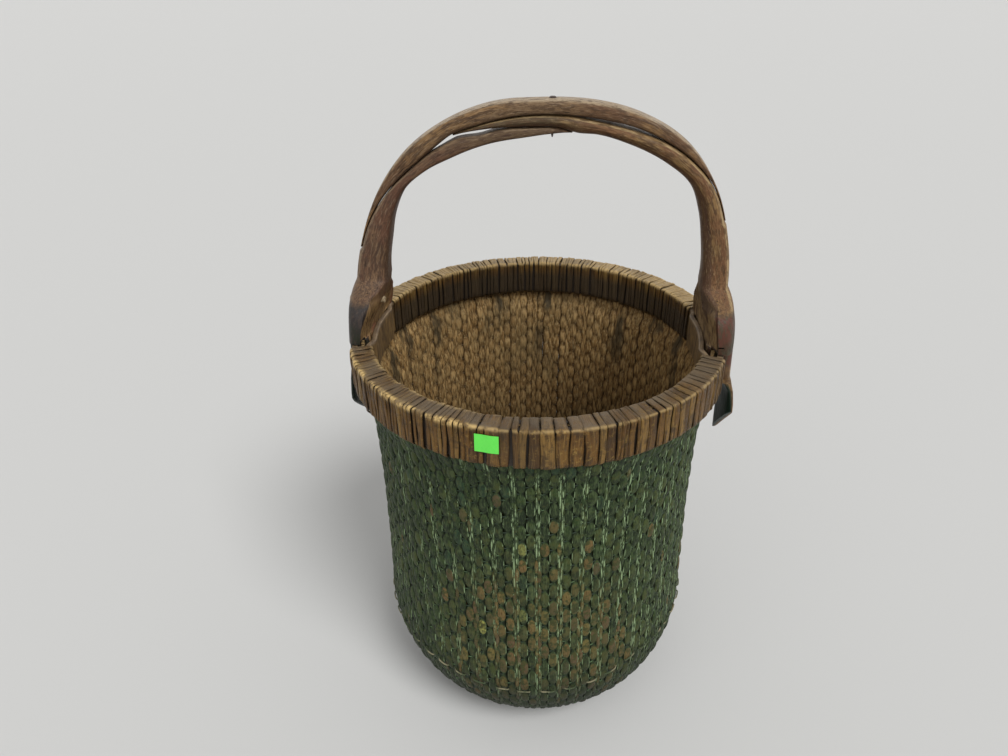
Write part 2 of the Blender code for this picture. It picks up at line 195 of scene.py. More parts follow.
def feed(node, inputs, output):
    # numbers, scales and colours stay on their sockets, the rest is linked
    for key, value in inputs.items():
        socket = node.inputs[key]
        if isinstance(value, float):
            socket.default_value = value
        elif isinstance(value, tuple):
            socket.default_value = (*value, 1.0)[:len(socket.default_value)]
        else:
            ink["tree"].links.new(value, socket)
    return node.outputs[output]


def attributesOf(*names):
    readers = []
    for name in names:
        reader = addNode("Attribute")
        reader.attribute_name = name
        readers.append(reader.outputs["Fac"])
    return readers


def placed(scale=(1.0, 1.0, 1.0), source="Object"):
    # a Mapping node on the piece's own Object or UV coordinates
    where = addNode("TexCoord").outputs[source]
    return feed(addNode("Mapping"), {"Scale": scale, "Vector": where}, "Vector")


def axesOf(axes):
    # X, Y or Z of the point in the piece's own frame
    parts = addNode("SeparateXYZ")
    feed(parts, {0: addNode("TexCoord").outputs["Object"]}, 0)
    return [parts.outputs[axis] for axis in axes]


def noise(vector, scale, detail=3.0, rough=0.55, twist=0.0):
    inputs = {"Vector": vector, "Scale": scale, "Detail": detail, "Roughness": rough, "Distortion": twist}
    return feed(addNode("TexNoise"), inputs, "Fac")


def ramp(value, low, high, toLow=0.0, toHigh=1.0):
    step = addNode("MapRange")
    step.interpolation_type = "SMOOTHSTEP"
    inputs = {"Value": value, "From Min": low, "From Max": high, "To Min": toLow, "To Max": toHigh}
    return feed(step, inputs, "Result")


def calc(kind, first, second=0.0):
    step = addNode("Math")
    step.operation = kind
    return feed(step, {0: first, 1: second}, 0)


def times(first, *others):
    for other in others:
        first = calc("MULTIPLY", first, other)
    return first


def mix(share, first, second):
    blend = addNode("Mix")
    blend.data_type = "RGBA"
    return feed(blend, {0: share, 6: first, 7: second}, 2)


def coats(color, rows):
    # one tone over the other, each up to its share where its value goes from low to high
    for value, low, high, share, tone in rows:
        color = mix(ramp(value, low, high, 0.0, share), color, tone)
    return color


def finishWith(color, height, distance, strength, roughness=None):
    bump = feed(addNode("Bump"), {"Strength": strength, "Distance": distance, "Height": height}, "Normal")
    feed(ink["shader"], {"Normal": bump, "Base Color": color}, 0)
    if roughness is not None:
        feed(ink["shader"], {"Roughness": roughness}, 0)
    return ink["finish"]


# camera, floor and light
view = {
    "place": (0.0355, -0.7626, 0.8885),
    "pitchDown": 30.963,
    "turned": 5.526,
    "roll": -1.007,
    "lens": 26.786,
    "sensor": 36.0,
}


def addCamera():
    data = bpy.data.cameras.new("photoView")
    data.lens = view["lens"]
    data.sensor_width = view["sensor"]
    camera = bpy.data.objects.new("photoView", data)
    bpy.context.scene.collection.objects.link(camera)
    aim = Matrix.Rotation(math.radians(view["turned"]), 4, "Z")
    aim = aim @ Matrix.Rotation(math.radians(90.0 - view["pitchDown"]), 4, "X")
    aim = aim @ Matrix.Rotation(math.radians(view["roll"]), 4, "Z")
    camera.matrix_world = Matrix.Translation(view["place"]) @ aim
    bpy.context.scene.camera = camera


studio = {
    "floorSize": 60.0,
    "floorColor": (0.62, 0.62, 0.61),
    "floorRoughness": 0.85,
    "skyColor": (1.0, 0.995, 0.985),
    "skyStrength": 0.44,
    "keyStrength": 1.95,
    "keyAngle": 24.0,
    "keyTurn": (38.0, 0.0, 40.0),
    "fillStrength": 0.45,
    "fillAngle": 70.0,
    "fillTurn": (48.0, 30.0, -40.0),
}


def addSun(name, strength, angle, turn):
    data = bpy.data.lights.new(name, "SUN")
    data.energy = strength
    data.angle = math.radians(angle)
    lamp = bpy.data.objects.new(name, data)
    bpy.context.scene.collection.objects.link(lamp)
    lamp.rotation_euler = [math.radians(value) for value in turn]


def addStudio():
    deselectAll()
    bpy.ops.mesh.primitive_plane_add(size=studio["floorSize"], location=(0.0, 0.0, 0.0))
    floor = bpy.context.active_object
    floor.name = "studioFloor"
    newFinish("paleFloor", studio["floorRoughness"])
    feed(ink["shader"], {"Base Color": studio["floorColor"]}, 0)
    floor.data.materials.append(ink["finish"])
    world = bpy.data.worlds.new("studioSky")
    world.use_nodes = True
    bpy.context.scene.world = world
    ink["tree"] = world.node_tree
    rays = addNode("LightPath").outputs
    # the sky shines softly on the object, but is seen at full strength
    seen = calc("MAXIMUM", rays["Is Transmission Ray"], rays["Is Glossy Ray"])
    seen = calc("MAXIMUM", rays["Is Camera Ray"], seen)
    inputs = {"Value": seen, "To Min": studio["skyStrength"], "To Max": 1.0}
    strength = feed(addNode("MapRange"), inputs, "Result")
    feed(world.node_tree.nodes["Background"], {"Color": studio["skyColor"], "Strength": strength}, 0)
    addSun("keyLight", studio["keyStrength"], studio["keyAngle"], studio["keyTurn"])
    addSun("fillLight", studio["fillStrength"], studio["fillAngle"], studio["fillTurn"])
    bpy.context.scene.view_settings.view_transform = "Standard"


addCamera()
addStudio()
print("camera, floor and light set")


# woven body
body = {
    "rimHeight": 0.5,
    "wallTop": 0.497,
    "wallThickness": 0.0074,
    "baseRadius": 0.09,
    "bellyRadius": 0.1947,
    "bellyHeight": 0.137,
    "wallKeys": [
        (0.137, 0.1947), (0.2285, 0.19165), (0.32, 0.1906), (0.405, 0.193),
        (0.4275, 0.1951), (0.45, 0.2012), (0.497, 0.2012),
    ],
    "units": 50,
    "unitTurn": 0.2,
    "rodEndAngle": 86.5,
    "twist": 2.0,
    "grainAtTop": 0.018018,
    "grainGrowth": 0.0312,
    "perGrain": 8,
    "around": 8,
    "crestPower": 0.3,
    "faceSquare": 0.55,
    "waveStart": (0.03, 0.046, 0.085),
    "waveFirst": 0.35,
    "flattenOver": 0.05,
    "inset": 0.0001,
    "insideSink": 0.3,
    "insidePinch": 0.75,
    "leastSwell": (0.5, 0.66),
}
# at: place in the unit of four rods, half: half width in units, swell: outside and inside
wide = {"half": 0.208, "sink": 0.0, "pinch": 0.0028, "swell": (1.06, 0.98)}
slim = {"half": 0.098, "sink": 0.0009, "pinch": 0.0022, "swell": (1.3, 1.45)}
rodKinds = {
    "A": {**wide, "at": 0.198, "phase": 0.0, "seed": 100},
    "B": {**wide, "at": 0.594, "phase": math.pi, "seed": 200},
    "C": {**slim, "at": 0.842, "phase": 0.0, "seed": 300},
    "D": {**slim, "at": 0.95, "phase": math.pi, "seed": 400},
}
# how far a rod strays: amount and stations from knot to knot, then what is even along the rod
rodStray = {"slip": (0.38, 40), "sway": (0.02, 26), "width": (0.06, 60), "lift": (0.0004, 10)}
rodOffset = {"slip": (-0.22, 0.22), "width": (-0.05, 0.05)}
# where the paint is rubbed off: a dome in front, a little everywhere, and the belly behind
wear = {
    "front": -86.0,
    "dome": 0.52,
    "domeCore": 12.0,
    "domeSlope": 0.0028,
    "domeHeight": (0.23, 0.36),
    "domeSide": (18.0, 42.0),
    "footHeight": (0.13, 0.06),
    "footSpared": 0.75,
    "scattered": 0.03,
    "scatteredHeight": (0.34, 0.44),
    "behind": 0.45,
    "behindSide": (80.0, 130.0),
    "behindHeight": (0.12, 0.24),
    "most": 0.9,
    "rubbed": 0.5,
    "faded": 1.1,
}
stringRows = {"radius": 0.00085, "perRod": 3, "around": 4, "swing": 0.0019, "sag": 0.0006, "squareness": 0.7}
# flat disc of plain weave inside the ring where the rods end
baseDisc = {
    "radius": 0.0985,
    "rodPitch": 0.0066,
    "rodHalf": 0.0033,
    "rodThick": 0.0021,
    "rowPitch": 0.012,
    "wave": 0.0011,
    "level": 0.0046,
    "stations": 33,
    "around": 6,
    "outward": -0.6,
}


def wallLine():
    # the outer wall from its top to the underside: length, radius, height and outward normal
    heights = np.linspace(body["wallTop"], body["bellyHeight"], 240)
    radii = np.array([smoothCurve(body["wallKeys"], height) for height in heights])
    turns = np.radians(np.linspace(0.0, body["rodEndAngle"], 160))[1:]
    spread = body["bellyRadius"] - body["baseRadius"]
    radii = np.concatenate([radii, body["baseRadius"] + spread * np.cos(turns)])
    heights = np.concatenate([heights, body["bellyHeight"] * (1.0 - np.sin(turns))])
    along = np.concatenate([[0.0], np.cumsum(np.hypot(np.diff(radii), np.diff(heights)))])
    slopeR = np.gradient(radii, along)
    slopeZ = np.gradient(heights, along)
    return {"along": along, "radius": radii, "height": heights, "normalR": -slopeZ, "normalZ": slopeR}


wall = wallLine()
wallLength = float(wall["along"][-1])


def wallAt(along):
    return [np.interp(along, wall["along"], wall[key]) for key in ("radius", "height", "normalR", "normalZ")]


def grainPhase(along):
    growth = body["grainGrowth"]
    return 2.0 * math.pi / growth * np.log(1.0 + growth / body["grainAtTop"] * along)


def alongAtPhase(phase):
    growth = body["grainGrowth"]
    return (np.exp(phase * growth / (2.0 * math.pi)) - 1.0) * body["grainAtTop"] / growth


def wavePart(along):
    # the rods lie straight between the hoops and flatten towards the base
    hidden, shown, full = body["waveStart"]
    first = body["waveFirst"]
    start = first * softStep(hidden, shown, along) + (1.0 - first) * softStep(shown, full, along)
    return start * (1.0 - 0.5 * softStep(wallLength - body["flattenOver"], wallLength, along))


def unitAngle(unit, share, along):
    turn = body["unitTurn"] + (unit + share) * 360.0 / body["units"] + body["twist"] * along / wallLength
    return np.radians(turn)


def wornChance(angle, height):
    away = np.abs((np.degrees(angle) - wear["front"] + 180.0) % 360.0 - 180.0)
    lowered = wear["domeSlope"] * np.maximum(away - wear["domeCore"], 0.0)
    dome = 1.0 - softStep(*wear["domeHeight"], height + lowered)
    dome = dome * (1.0 - softStep(*wear["domeSide"], away))
    dome = dome * (1.0 - wear["footSpared"] * softStep(*wear["footHeight"], height))
    scattered = wear["scattered"] * (1.0 - softStep(*wear["scatteredHeight"], height))
    behind = wear["behind"] * softStep(*wear["behindSide"], away)
    behind = behind * (1.0 - softStep(*wear["behindHeight"], height))
    return np.clip(wear["dome"] * dome + scattered + behind, 0.0, wear["most"])


def crestOf(phase):
    # long full grain between short pinches
    return (0.5 + 0.5 * np.cos(phase)) ** body["crestPower"]


def strayOf(what, stations, seed):
    amount, step = rodStray[what]
    return amount * wander(stations, step, seed)


def layRods(kind):
    rod = rodKinds[kind]
    grains = int(grainPhase(wallLength) / (2.0 * math.pi)) + 1
    stations = grains * body["perGrain"] + 1
    master, column, row = gridSleeve("rod" + kind, stations, body["around"])
    phaseAt = np.linspace(0.0, float(grainPhase(wallLength)), stations)
    alongAt = alongAtPhase(phaseAt)
    radius, height, normalR, normalZ = wallAt(alongAt)
    part = wavePart(alongAt)
    spin = 2.0 * math.pi * (row + 0.5) / body["around"]
    outward = np.cos(spin)
    sideways = np.sin(spin)
    isOut = outward > 0.0
    full = np.where(isOut, *rod["swell"])
    least = np.where(isOut, *body["leastSwell"])
    rods = []
    for unit in range(body["units"]):
        seed = rod["seed"] + unit
        rng = np.random.default_rng(seed)
        copy = nextCopy(master, unit == body["units"] - 1)
        slip = strayOf("slip", stations, seed + 1000) + rng.uniform(*rodOffset["slip"])
        sway = strayOf("sway", stations, seed + 2000)
        width = 1.0 + strayOf("width", stations, seed + 3000) + rng.uniform(*rodOffset["width"])
        lift = strayOf("lift", stations, seed + 4000) * part
        outPhase = phaseAt + rod["phase"] + slip
        outCrest = crestOf(outPhase)
        inCrest = crestOf(outPhase + math.pi)
        outFace = -body["inset"] - rod["sink"] * part - rod["pinch"] * (1.0 - outCrest) * part + lift
        inDepth = body["insideSink"] * rod["sink"] + body["insidePinch"] * rod["pinch"] * (1.0 - inCrest)
        inFace = body["inset"] - body["wallThickness"] + inDepth * part + lift
        middle = 0.5 * (outFace + inFace)
        face = np.where(isOut, (outFace - middle)[column], (middle - inFace)[column])
        offset = middle[column] + face * np.sign(outward) * np.abs(outward) ** body["faceSquare"]
        crest = np.where(isOut, outCrest[column], inCrest[column])
        # the face narrows towards both ends of a grain, the middle of the rod stays full
        swell = np.where(np.abs(outward) > 0.5, full - (full - least) * (1.0 - crest) * part[column], 1.0)
        half = rod["half"] * 2.0 * math.pi * radius[column] / body["units"] * width[column] * swell
        turn = unitAngle(unit, rod["at"] + sway[column], alongAt[column])
        # the widest points of the sleeve lie at a share of 0.924 of its half width
        turn = turn + half * sideways / 0.924 / radius[column]
        reach = radius[column] + offset * normalR[column]
        level = height[column] + offset * normalZ[column]
        movePoints(copy, roundAxis(reach, turn, level))
        cycle = outPhase / (2.0 * math.pi)
        outGrain = np.floor(cycle + 0.5).astype(int)
        inGrain = np.floor(cycle).astype(int) + 1
        draws = np.random.default_rng(seed + 5000).uniform(0.0, 1.0, (grains + 8, 3))
        angle = math.radians(body["unitTurn"] + (unit + rod["at"]) * 360.0 / body["units"])
        centre = np.clip(outGrain * 2.0 * math.pi - rod["phase"], 0.0, phaseAt[-1])
        chance = wornChance(angle, wallAt(alongAtPhase(centre))[1])
        rubbed = wear["rubbed"] + (1.0 - wear["rubbed"]) * draws[outGrain, 2]
        faded = wear["faded"] * chance * draws[outGrain, 2]
        worn = np.where(draws[outGrain, 0] < chance, rubbed, faded)
        swing = 0.5 * np.cos(outPhase)[column]
        paintPoints(copy, "nearEnd", np.where(isOut, 0.5 - swing, 0.5 + swing))
        paintPoints(copy, "outward", outward)
        paintPoints(copy, "grainTone", np.where(isOut, draws[outGrain, 1][column], draws[inGrain, 1][column]))
        paintPoints(copy, "worn", worn[column])
        paintPoints(copy, "side", sideways)
        rods.append(copy)
    return joinAll(rods, "rods" + kind)


def layStrings(name, first, last):
    # each row of string passes behind the proud rods and over the sunken ones
    units = body["units"]
    radiusOf = stringRows["radius"]
    stations = units * 4 * stringRows["perRod"] + 1
    master, column, row = gridSleeve(name, stations, stringRows["around"])
    spots = np.arange(stations) / stringRows["perRod"]
    centres = [0.0]
    for unit in range(units + 1):
        centres += [unit + rodKinds[kind]["at"] for kind in "ABCD"]
    unitAt = np.interp(spots + 0.5, np.arange(len(centres)), centres)
    unitAt = unitAt - (unitAt[-1] - units - unitAt[0]) * np.arange(stations) / (stations - 1)
    rows = []
    for step in range(first, last):
        copy = nextCopy(master, step == last - 1)
        around = np.arange(stations) * 2.0 * math.pi / (stations - 1)
        along = alongAtPhase(math.pi * step) + stringRows["sag"] * np.sin(around * (2 + step % 3) + step)
        along = np.clip(along, 0.0, wallLength)
        radius, height, normalR, normalZ = wallAt(along)
        weave = -np.cos(math.pi * spots) * (1.0 if step % 2 == 0 else -1.0)
        weave = np.sign(weave) * np.abs(weave) ** stringRows["squareness"]
        middle = -0.5 * body["wallThickness"] + stringRows["swing"] * weave * wavePart(along)
        turns = unitAngle(0, unitAt, along)
        spin = 2.0 * math.pi * row / stringRows["around"]
        offset = middle[column] + radiusOf * np.cos(spin)
        slide = radiusOf * np.sin(spin)
        reach = radius[column] + offset * normalR[column] + slide * -normalZ[column]
        level = height[column] + offset * normalZ[column] + slide * normalR[column]
        points = roundAxis(reach, turns[column], level)
        # the row closes: its last ring lies on its first
        starts = np.nonzero(column == 0)[0]
        ends = np.nonzero(column == stations - 1)[0]
        points[ends[np.argsort(row[ends])]] = points[starts[np.argsort(row[starts])]]
        movePoints(copy, points)
        paintPoints(copy, "outward", np.clip(weave[column], -1.0, 1.0))
        rows.append(copy)
    return joinAll(rows, name)


def grainFinish(name, narrow):
    newFinish(name, 0.62, 0.16)
    vector = placed()
    stretched = placed((1.0, 1.0, 0.16))
    fine = noise(stretched, 1000.0)
    coarse = noise(vector, 150.0)
    streak = noise(stretched, 420.0)
    dashed = noise(placed((1.0, 1.0, 0.5)), 210.0, 2.0)
    patches = noise(vector, 26.0)
    broad = noise(vector, 8.0)
    nearEnd, tone, worn, outward, side = attributesOf("nearEnd", "grainTone", "worn", "outward", "side")
    rightward, level = axesOf("XZ")
    # 0 in the middle of a grain, 1 at its border, so that the marks come out barrel shaped
    across = times(side, side)
    endwise = times(calc("POWER", nearEnd, 1.6), 0.85)
    border = calc("ADD", calc("POWER", across, 1.5), endwise)
    # paint: dark green, another green on each grain and in broad patches
    green = mix(ramp(tone, 0.1, 0.6), (0.012, 0.022, 0.008), (0.024, 0.046, 0.012))
    green = coats(green, [
        (tone, 0.6, 0.8, 1.0, (0.046, 0.06, 0.015)),
        (tone, 0.93, 0.95, 1.0, (0.02, 0.044, 0.022)),
        (broad, 0.45, 0.7, 0.6, (0.013, 0.028, 0.011)),
        (coarse, 0.46, 0.6, 0.8, (0.011, 0.018, 0.008)),
        (coarse, 0.44, 0.34, 0.6, (0.058, 0.06, 0.018)),
        (streak, 0.52, 0.64, 0.6, (0.07, 0.098, 0.04)),
        (fine, 0.48, 0.66, 0.7, (0.062, 0.09, 0.036)),
    ])
    # pale green in thin lines beside the grains, partly chalky paint left there and partly a painted
    # highlight where the flanks catch the light, least on the left and near the rim
    leftward = ramp(rightward, -0.13, 0.03, 0.14, 0.0)
    shown = calc("SUBTRACT", patches, leftward)
    shown = calc("SUBTRACT", shown, ramp(level, 0.36, 0.46, 0.0, 0.11))
    line = times(ramp(across, 0.46, 0.6), ramp(across, 0.8, 0.7))
    if narrow:
        line = calc("MAXIMUM", line, ramp(across, 0.09, 0.01, 0.0, 0.9))
    line = times(line, ramp(streak, 0.42, 0.55), ramp(dashed, 0.37, 0.5))
    paint = mix(times(ramp(shown, 0.28, 0.46), line), green, (0.3, 0.41, 0.22))
    # bare willow where the paint has been rubbed off
    bare = mix(ramp(tone, 0.1, 0.5), (0.16, 0.13, 0.04), (0.165, 0.108, 0.04))
    bare = coats(bare, [
        (tone, 0.62, 0.8, 1.0, (0.112, 0.074, 0.038)),
        (tone, 0.975, 0.985, 1.0, (0.3, 0.31, 0.08)),
        (fine, 0.42, 0.75, 1.0, (0.075, 0.037, 0.011)),
        (coarse, 0.46, 0.6, 1.0, (0.055, 0.056, 0.017)),
    ])
    ragged = calc("ADD", border, times(streak, 0.5))
    rub = times(worn, ramp(ragged, 1.0, 0.8), ramp(coarse, 0.24, 0.42, 0.4, 1.0))
    # painted shade, darker towards the ground; brown on the rod ends under the strips
    outside = coats(mix(rub, paint, bare), [
        (level, 0.18, 0.05, 0.78, (0.01, 0.014, 0.006)),
        (level, 0.484, 0.49, 1.0, (0.03, 0.018, 0.008)),
    ])
    # inside: bare ochre willow, with a painted highlight on the middle of each grain and painted shade
    # towards its border
    inside = coats(mix(tone, (0.29, 0.165, 0.058), (0.52, 0.335, 0.14)), [
        (border, 0.2, 0.85, 0.75, (0.13, 0.072, 0.026)),
        (streak, 0.44, 0.58, 0.8, (0.12, 0.064, 0.022)),
        (fine, 0.48, 0.68, 0.9, (0.5, 0.36, 0.17)),
        (broad, 0.45, 0.75, 0.6, (0.19, 0.145, 0.07)),
    ])
    # old wet stains run down from the rim; the inside is painted darker towards the bottom as painted shade
    run = noise(placed((1.0, 1.0, 0.22)), 34.0, 4.0, 0.6)
    stained = times(ramp(run, 0.53, 0.64, 0.0, 0.85), ramp(level, 0.3, 0.43))
    inside = mix(stained, inside, (0.04, 0.034, 0.022))
    # painted shade: the inside grows darker towards the bottom
    inside = coats(inside, [(level, 0.4, 0.16, 0.62, (0.06, 0.038, 0.017))])
    isOut = ramp(outward, -0.15, 0.15)
    color = mix(isOut, inside, outside)
    # painted shade in the recessed lines between the grains
    dirt = mix(isOut, (0.075, 0.042, 0.016), (0.008, 0.013, 0.005))
    edge = calc("ADD", border, times(isOut, 0.1))
    color = mix(ramp(edge, 0.86, 1.04), color, dirt)
    roughness = ramp(fine, 0.3, 0.8, 0.45, 0.75)
    return finishWith(color, calc("ADD", fine, coarse), 0.0007, 0.7, roughness)


def stringFinish():
    newFinish("woundString", 0.85)
    vector = placed()
    fine = noise(vector, 700.0, 2.0)
    coarse = noise(vector, 70.0)
    outward, = attributesOf("outward")
    painted = mix(ramp(coarse, 0.5, 0.7), (0.012, 0.024, 0.012), (0.07, 0.12, 0.05))
    bare = mix(fine, (0.05, 0.03, 0.012), (0.13, 0.085, 0.04))
    color = mix(ramp(outward, -0.1, 0.2), bare, painted)
    return finishWith(color, fine, 0.0003, 0.8)


def makeBody():
    pieces = []
    for kind in "ABCD":
        rods = layRods(kind)
        dress(rods, grainFinish("willowRod" + kind, kind in "CD"))
        pieces.append(rods)
        print("rods", kind, "laid")
    rowCount = int(float(grainPhase(wallLength)) / math.pi)
    strings = stringFinish()
    for name, first, last in (("stringRowsUpper", 5, 24), ("stringRowsLower", 24, rowCount)):
        rows = layStrings(name, first, last)
        dress(rows, strings)
        pieces.append(rows)
    print("string rows laid")
    return pieces


def layBase():
    rods = []
    radius = baseDisc["radius"]
    stations = baseDisc["stations"]
    count = int(radius / baseDisc["rodPitch"])
    for line in range(-count, count + 1):
        across = line * baseDisc["rodPitch"]
        reach = math.sqrt(radius ** 2 - across ** 2)
        stick, column, row = gridSleeve("baseRod", stations, baseDisc["around"])
        along = np.linspace(-reach, reach, stations)
        turn = math.pi * along / baseDisc["rowPitch"] + math.pi * (line % 2)
        wave = baseDisc["wave"] * np.cos(turn)
        spin = 2.0 * math.pi * row / baseDisc["around"]
        x = across + baseDisc["rodHalf"] * np.sin(spin)
        z = baseDisc["level"] + wave[column] + baseDisc["rodThick"] * np.cos(spin)
        movePoints(stick, np.stack([x, along[column], z], 1))
        tone = np.random.default_rng(900 + line).uniform()
        paintPoints(stick, "nearEnd", 0.5 + 0.5 * np.cos(turn[column]) * np.sign(np.cos(spin)))
        paintPoints(stick, "outward", np.full(len(x), baseDisc["outward"]))
        paintPoints(stick, "grainTone", np.full(len(x), tone))
        paintPoints(stick, "worn", np.zeros(len(x)))
        paintPoints(stick, "side", np.sin(spin))
        rods.append(stick)
    floorRods = joinAll(rods, "baseRods")
    dress(floorRods, grainFinish("willowBase", False))
    return floorRods


for piece in [*makeBody(), layBase()]:
    hangOn(piece, "woven_body")
print("woven body made")


# twine stitched round the belly, angles in degrees
twine = {
    "radius": 0.0009,
    "ring": [
        (-180, 0.124), (-128, 0.119), (-100, 0.1125), (-82, 0.115), (-67, 0.125), (-56, 0.1355),
        (-40, 0.137), (0, 0.13), (60, 0.118), (120, 0.116), (180, 0.124),
    ],
    "offset": 5.5,
    "from": -176.0,
    "to": 182.0,
    "dash": (3.6, 5.2),
    "rest": (2.4, 3.8),
    "sunk": 0.0012,
    "rise": 0.002,
    "ripple": 0.0008,
    "stations": 11,
    "around": 6,
    "seed": 41,
}


def twineFinish():
    newFinish("hempTwine", 0.9)
    vector = placed()
    fibre = noise(vector, 800.0, 2.0)
    dirt = noise(vector, 45.0)
    color = mix(fibre, (0.15, 0.13, 0.075), (0.32, 0.29, 0.18))
    color = coats(color, [(dirt, 0.38, 0.56, 1.0, (0.05, 0.07, 0.03))])
    return finishWith(color, fibre, 0.0004, 0.8)


def makeTwine():
    # a running stitch: a dash over the rods, then back under the next ones
    dashes = []
    stations = twine["stations"]
    turn = twine["from"]
    rng = np.random.default_rng(twine["seed"])
    while turn < twine["to"]:
        high = turn + rng.uniform(*twine["dash"])
        piece, column, row = gridSleeve("dash", stations, twine["around"])
        angles = np.linspace(turn, high, stations)
        levels = np.array([smoothCurve(twine["ring"], angle) for angle in angles])
        levels = levels + twine["ripple"] * np.sin(angles * 0.9)
        middle = np.sin(np.linspace(0.0, math.pi, stations))
        radius = np.interp(levels, wall["height"][::-1], wall["radius"][::-1])
        reach = radius - twine["sunk"] + twine["rise"] * middle ** 0.25
        spin = 2.0 * math.pi * row / twine["around"]
        away = reach[column] + twine["radius"] * np.cos(spin)
        turned = np.radians(angles[column] + twine["offset"])
        z = levels[column] + twine["radius"] * np.sin(spin)
        movePoints(piece, roundAxis(away, turned, z))
        paintPoints(piece, "grainTone", np.full(len(z), rng.uniform()))
        dashes.append(piece)
        turn = high + rng.uniform(*twine["rest"])
    cord = joinAll(dashes, "bellyTwine")
    dress(cord, twineFinish())
    hangOn(cord, "base_twine")


makeTwine()
print("twine made")


# strips wound round the rim
rim = {
    "outer": 0.2096,
    "inner": 0.1864,
    "top": 0.4991,
    "low": 0.4568,
    "lipOut": 0.203,
    "lipIn": 0.1925,
    "corner": 0.0024,
    "bareHalfAngle": 17.6,
    "thick": 0.0009,
    "wornGlintArris": 0.0012,
    "stations": 42,
    "around": 8,
    "slant": (-0.9, 1.3),
    "bow": (-0.3, 0.3),
    "lift": (-0.0002, 0.0008),
    "sway": 0.2,
    "ragged": 0.16,
    "ripple": 0.00034,
    "wornRipple": 0.0003,
    "wornFrom": (-168.0, -150.0),
    "wornTo": (-96.0, -112.0),
    "insideFrom": 0.1885,
    # up to this angle: widths in degrees, narrow and wide, and the share of the narrow ones
    "widths": [
        (-106.0, (1.05, 1.75), None, 1.0),
        (-72.0, (1.3, 2.0), (2.4, 4.2), 0.25),
        (-30.0, (0.9, 1.4), (1.8, 2.9), 0.35),
        (180.0, (0.85, 1.2), (1.2, 1.9), 0.6),
    ],
}
# end angles and seed of both bindings
bindings = {
    "frontStrips": {"node": "rim_binding_front", "slot": "front_strip_bark", "start": -180.0, "seed": 11},
    "backStrips": {"node": "rim_binding_back", "slot": "back_strip_bark", "start": 0.0, "seed": 23},
}


def rimPath(count):
    # the way of one strip round both hoops, from the outer lip over the top to the inner lip
    corners = np.array([
        (rim["lipOut"], rim["low"]), (rim["outer"], rim["low"]), (rim["outer"], rim["top"]),
        (rim["inner"], rim["top"]), (rim["inner"], rim["low"]), (rim["lipIn"], rim["low"]),
    ])
    way = [corners[0]]
    for before, here, after in zip(corners, corners[1:], corners[2:]):
        start = here + (before - here) / np.linalg.norm(before - here) * rim["corner"]
        end = here + (after - here) / np.linalg.norm(after - here) * rim["corner"]
        for share in (0.0, 0.25, 0.5, 0.75, 1.0):
            way.append((1 - share) ** 2 * start + 2 * share * (1 - share) * here + share ** 2 * end)
    way.append(corners[-1])
    way = np.array(way)
    along = np.concatenate([[0.0], np.cumsum(np.hypot(*np.diff(way, axis=0).T))])
    # more stations where the way turns over the two upper corners
    even = np.linspace(0.0, along[-1], 400)
    weight = np.ones(len(even))
    for corner in (rim["outer"], rim["inner"]):
        turnedAt = along[np.argmin(np.hypot(way[:, 0] - corner, way[:, 1] - rim["top"]))]
        weight += 5.0 * np.exp(-((even - turnedAt) / 0.0032) ** 2)
    total = np.cumsum(weight)
    at = np.interp(np.linspace(total[0], total[-1], count), total, even)
    radius = np.interp(at, along, way[:, 0])
    height = np.interp(at, along, way[:, 1])
    slopeR = np.gradient(radius, at)
    slopeZ = np.gradient(height, at)
    size = np.hypot(slopeR, slopeZ)
    return radius, height, slopeZ / size, -slopeR / size


def stripWidth(turn, rng):
    # narrow at the front left and behind, wide in the middle of the front
    angle = (turn + 180.0) % 360.0 - 180.0
    narrow, wide, share = next(row[1:] for row in rim["widths"] if angle < row[0])
    width = rng.uniform(*narrow)
    if wide is None:
        return width
    return rng.choice([width, rng.uniform(*wide)], p=[share, 1.0 - share])


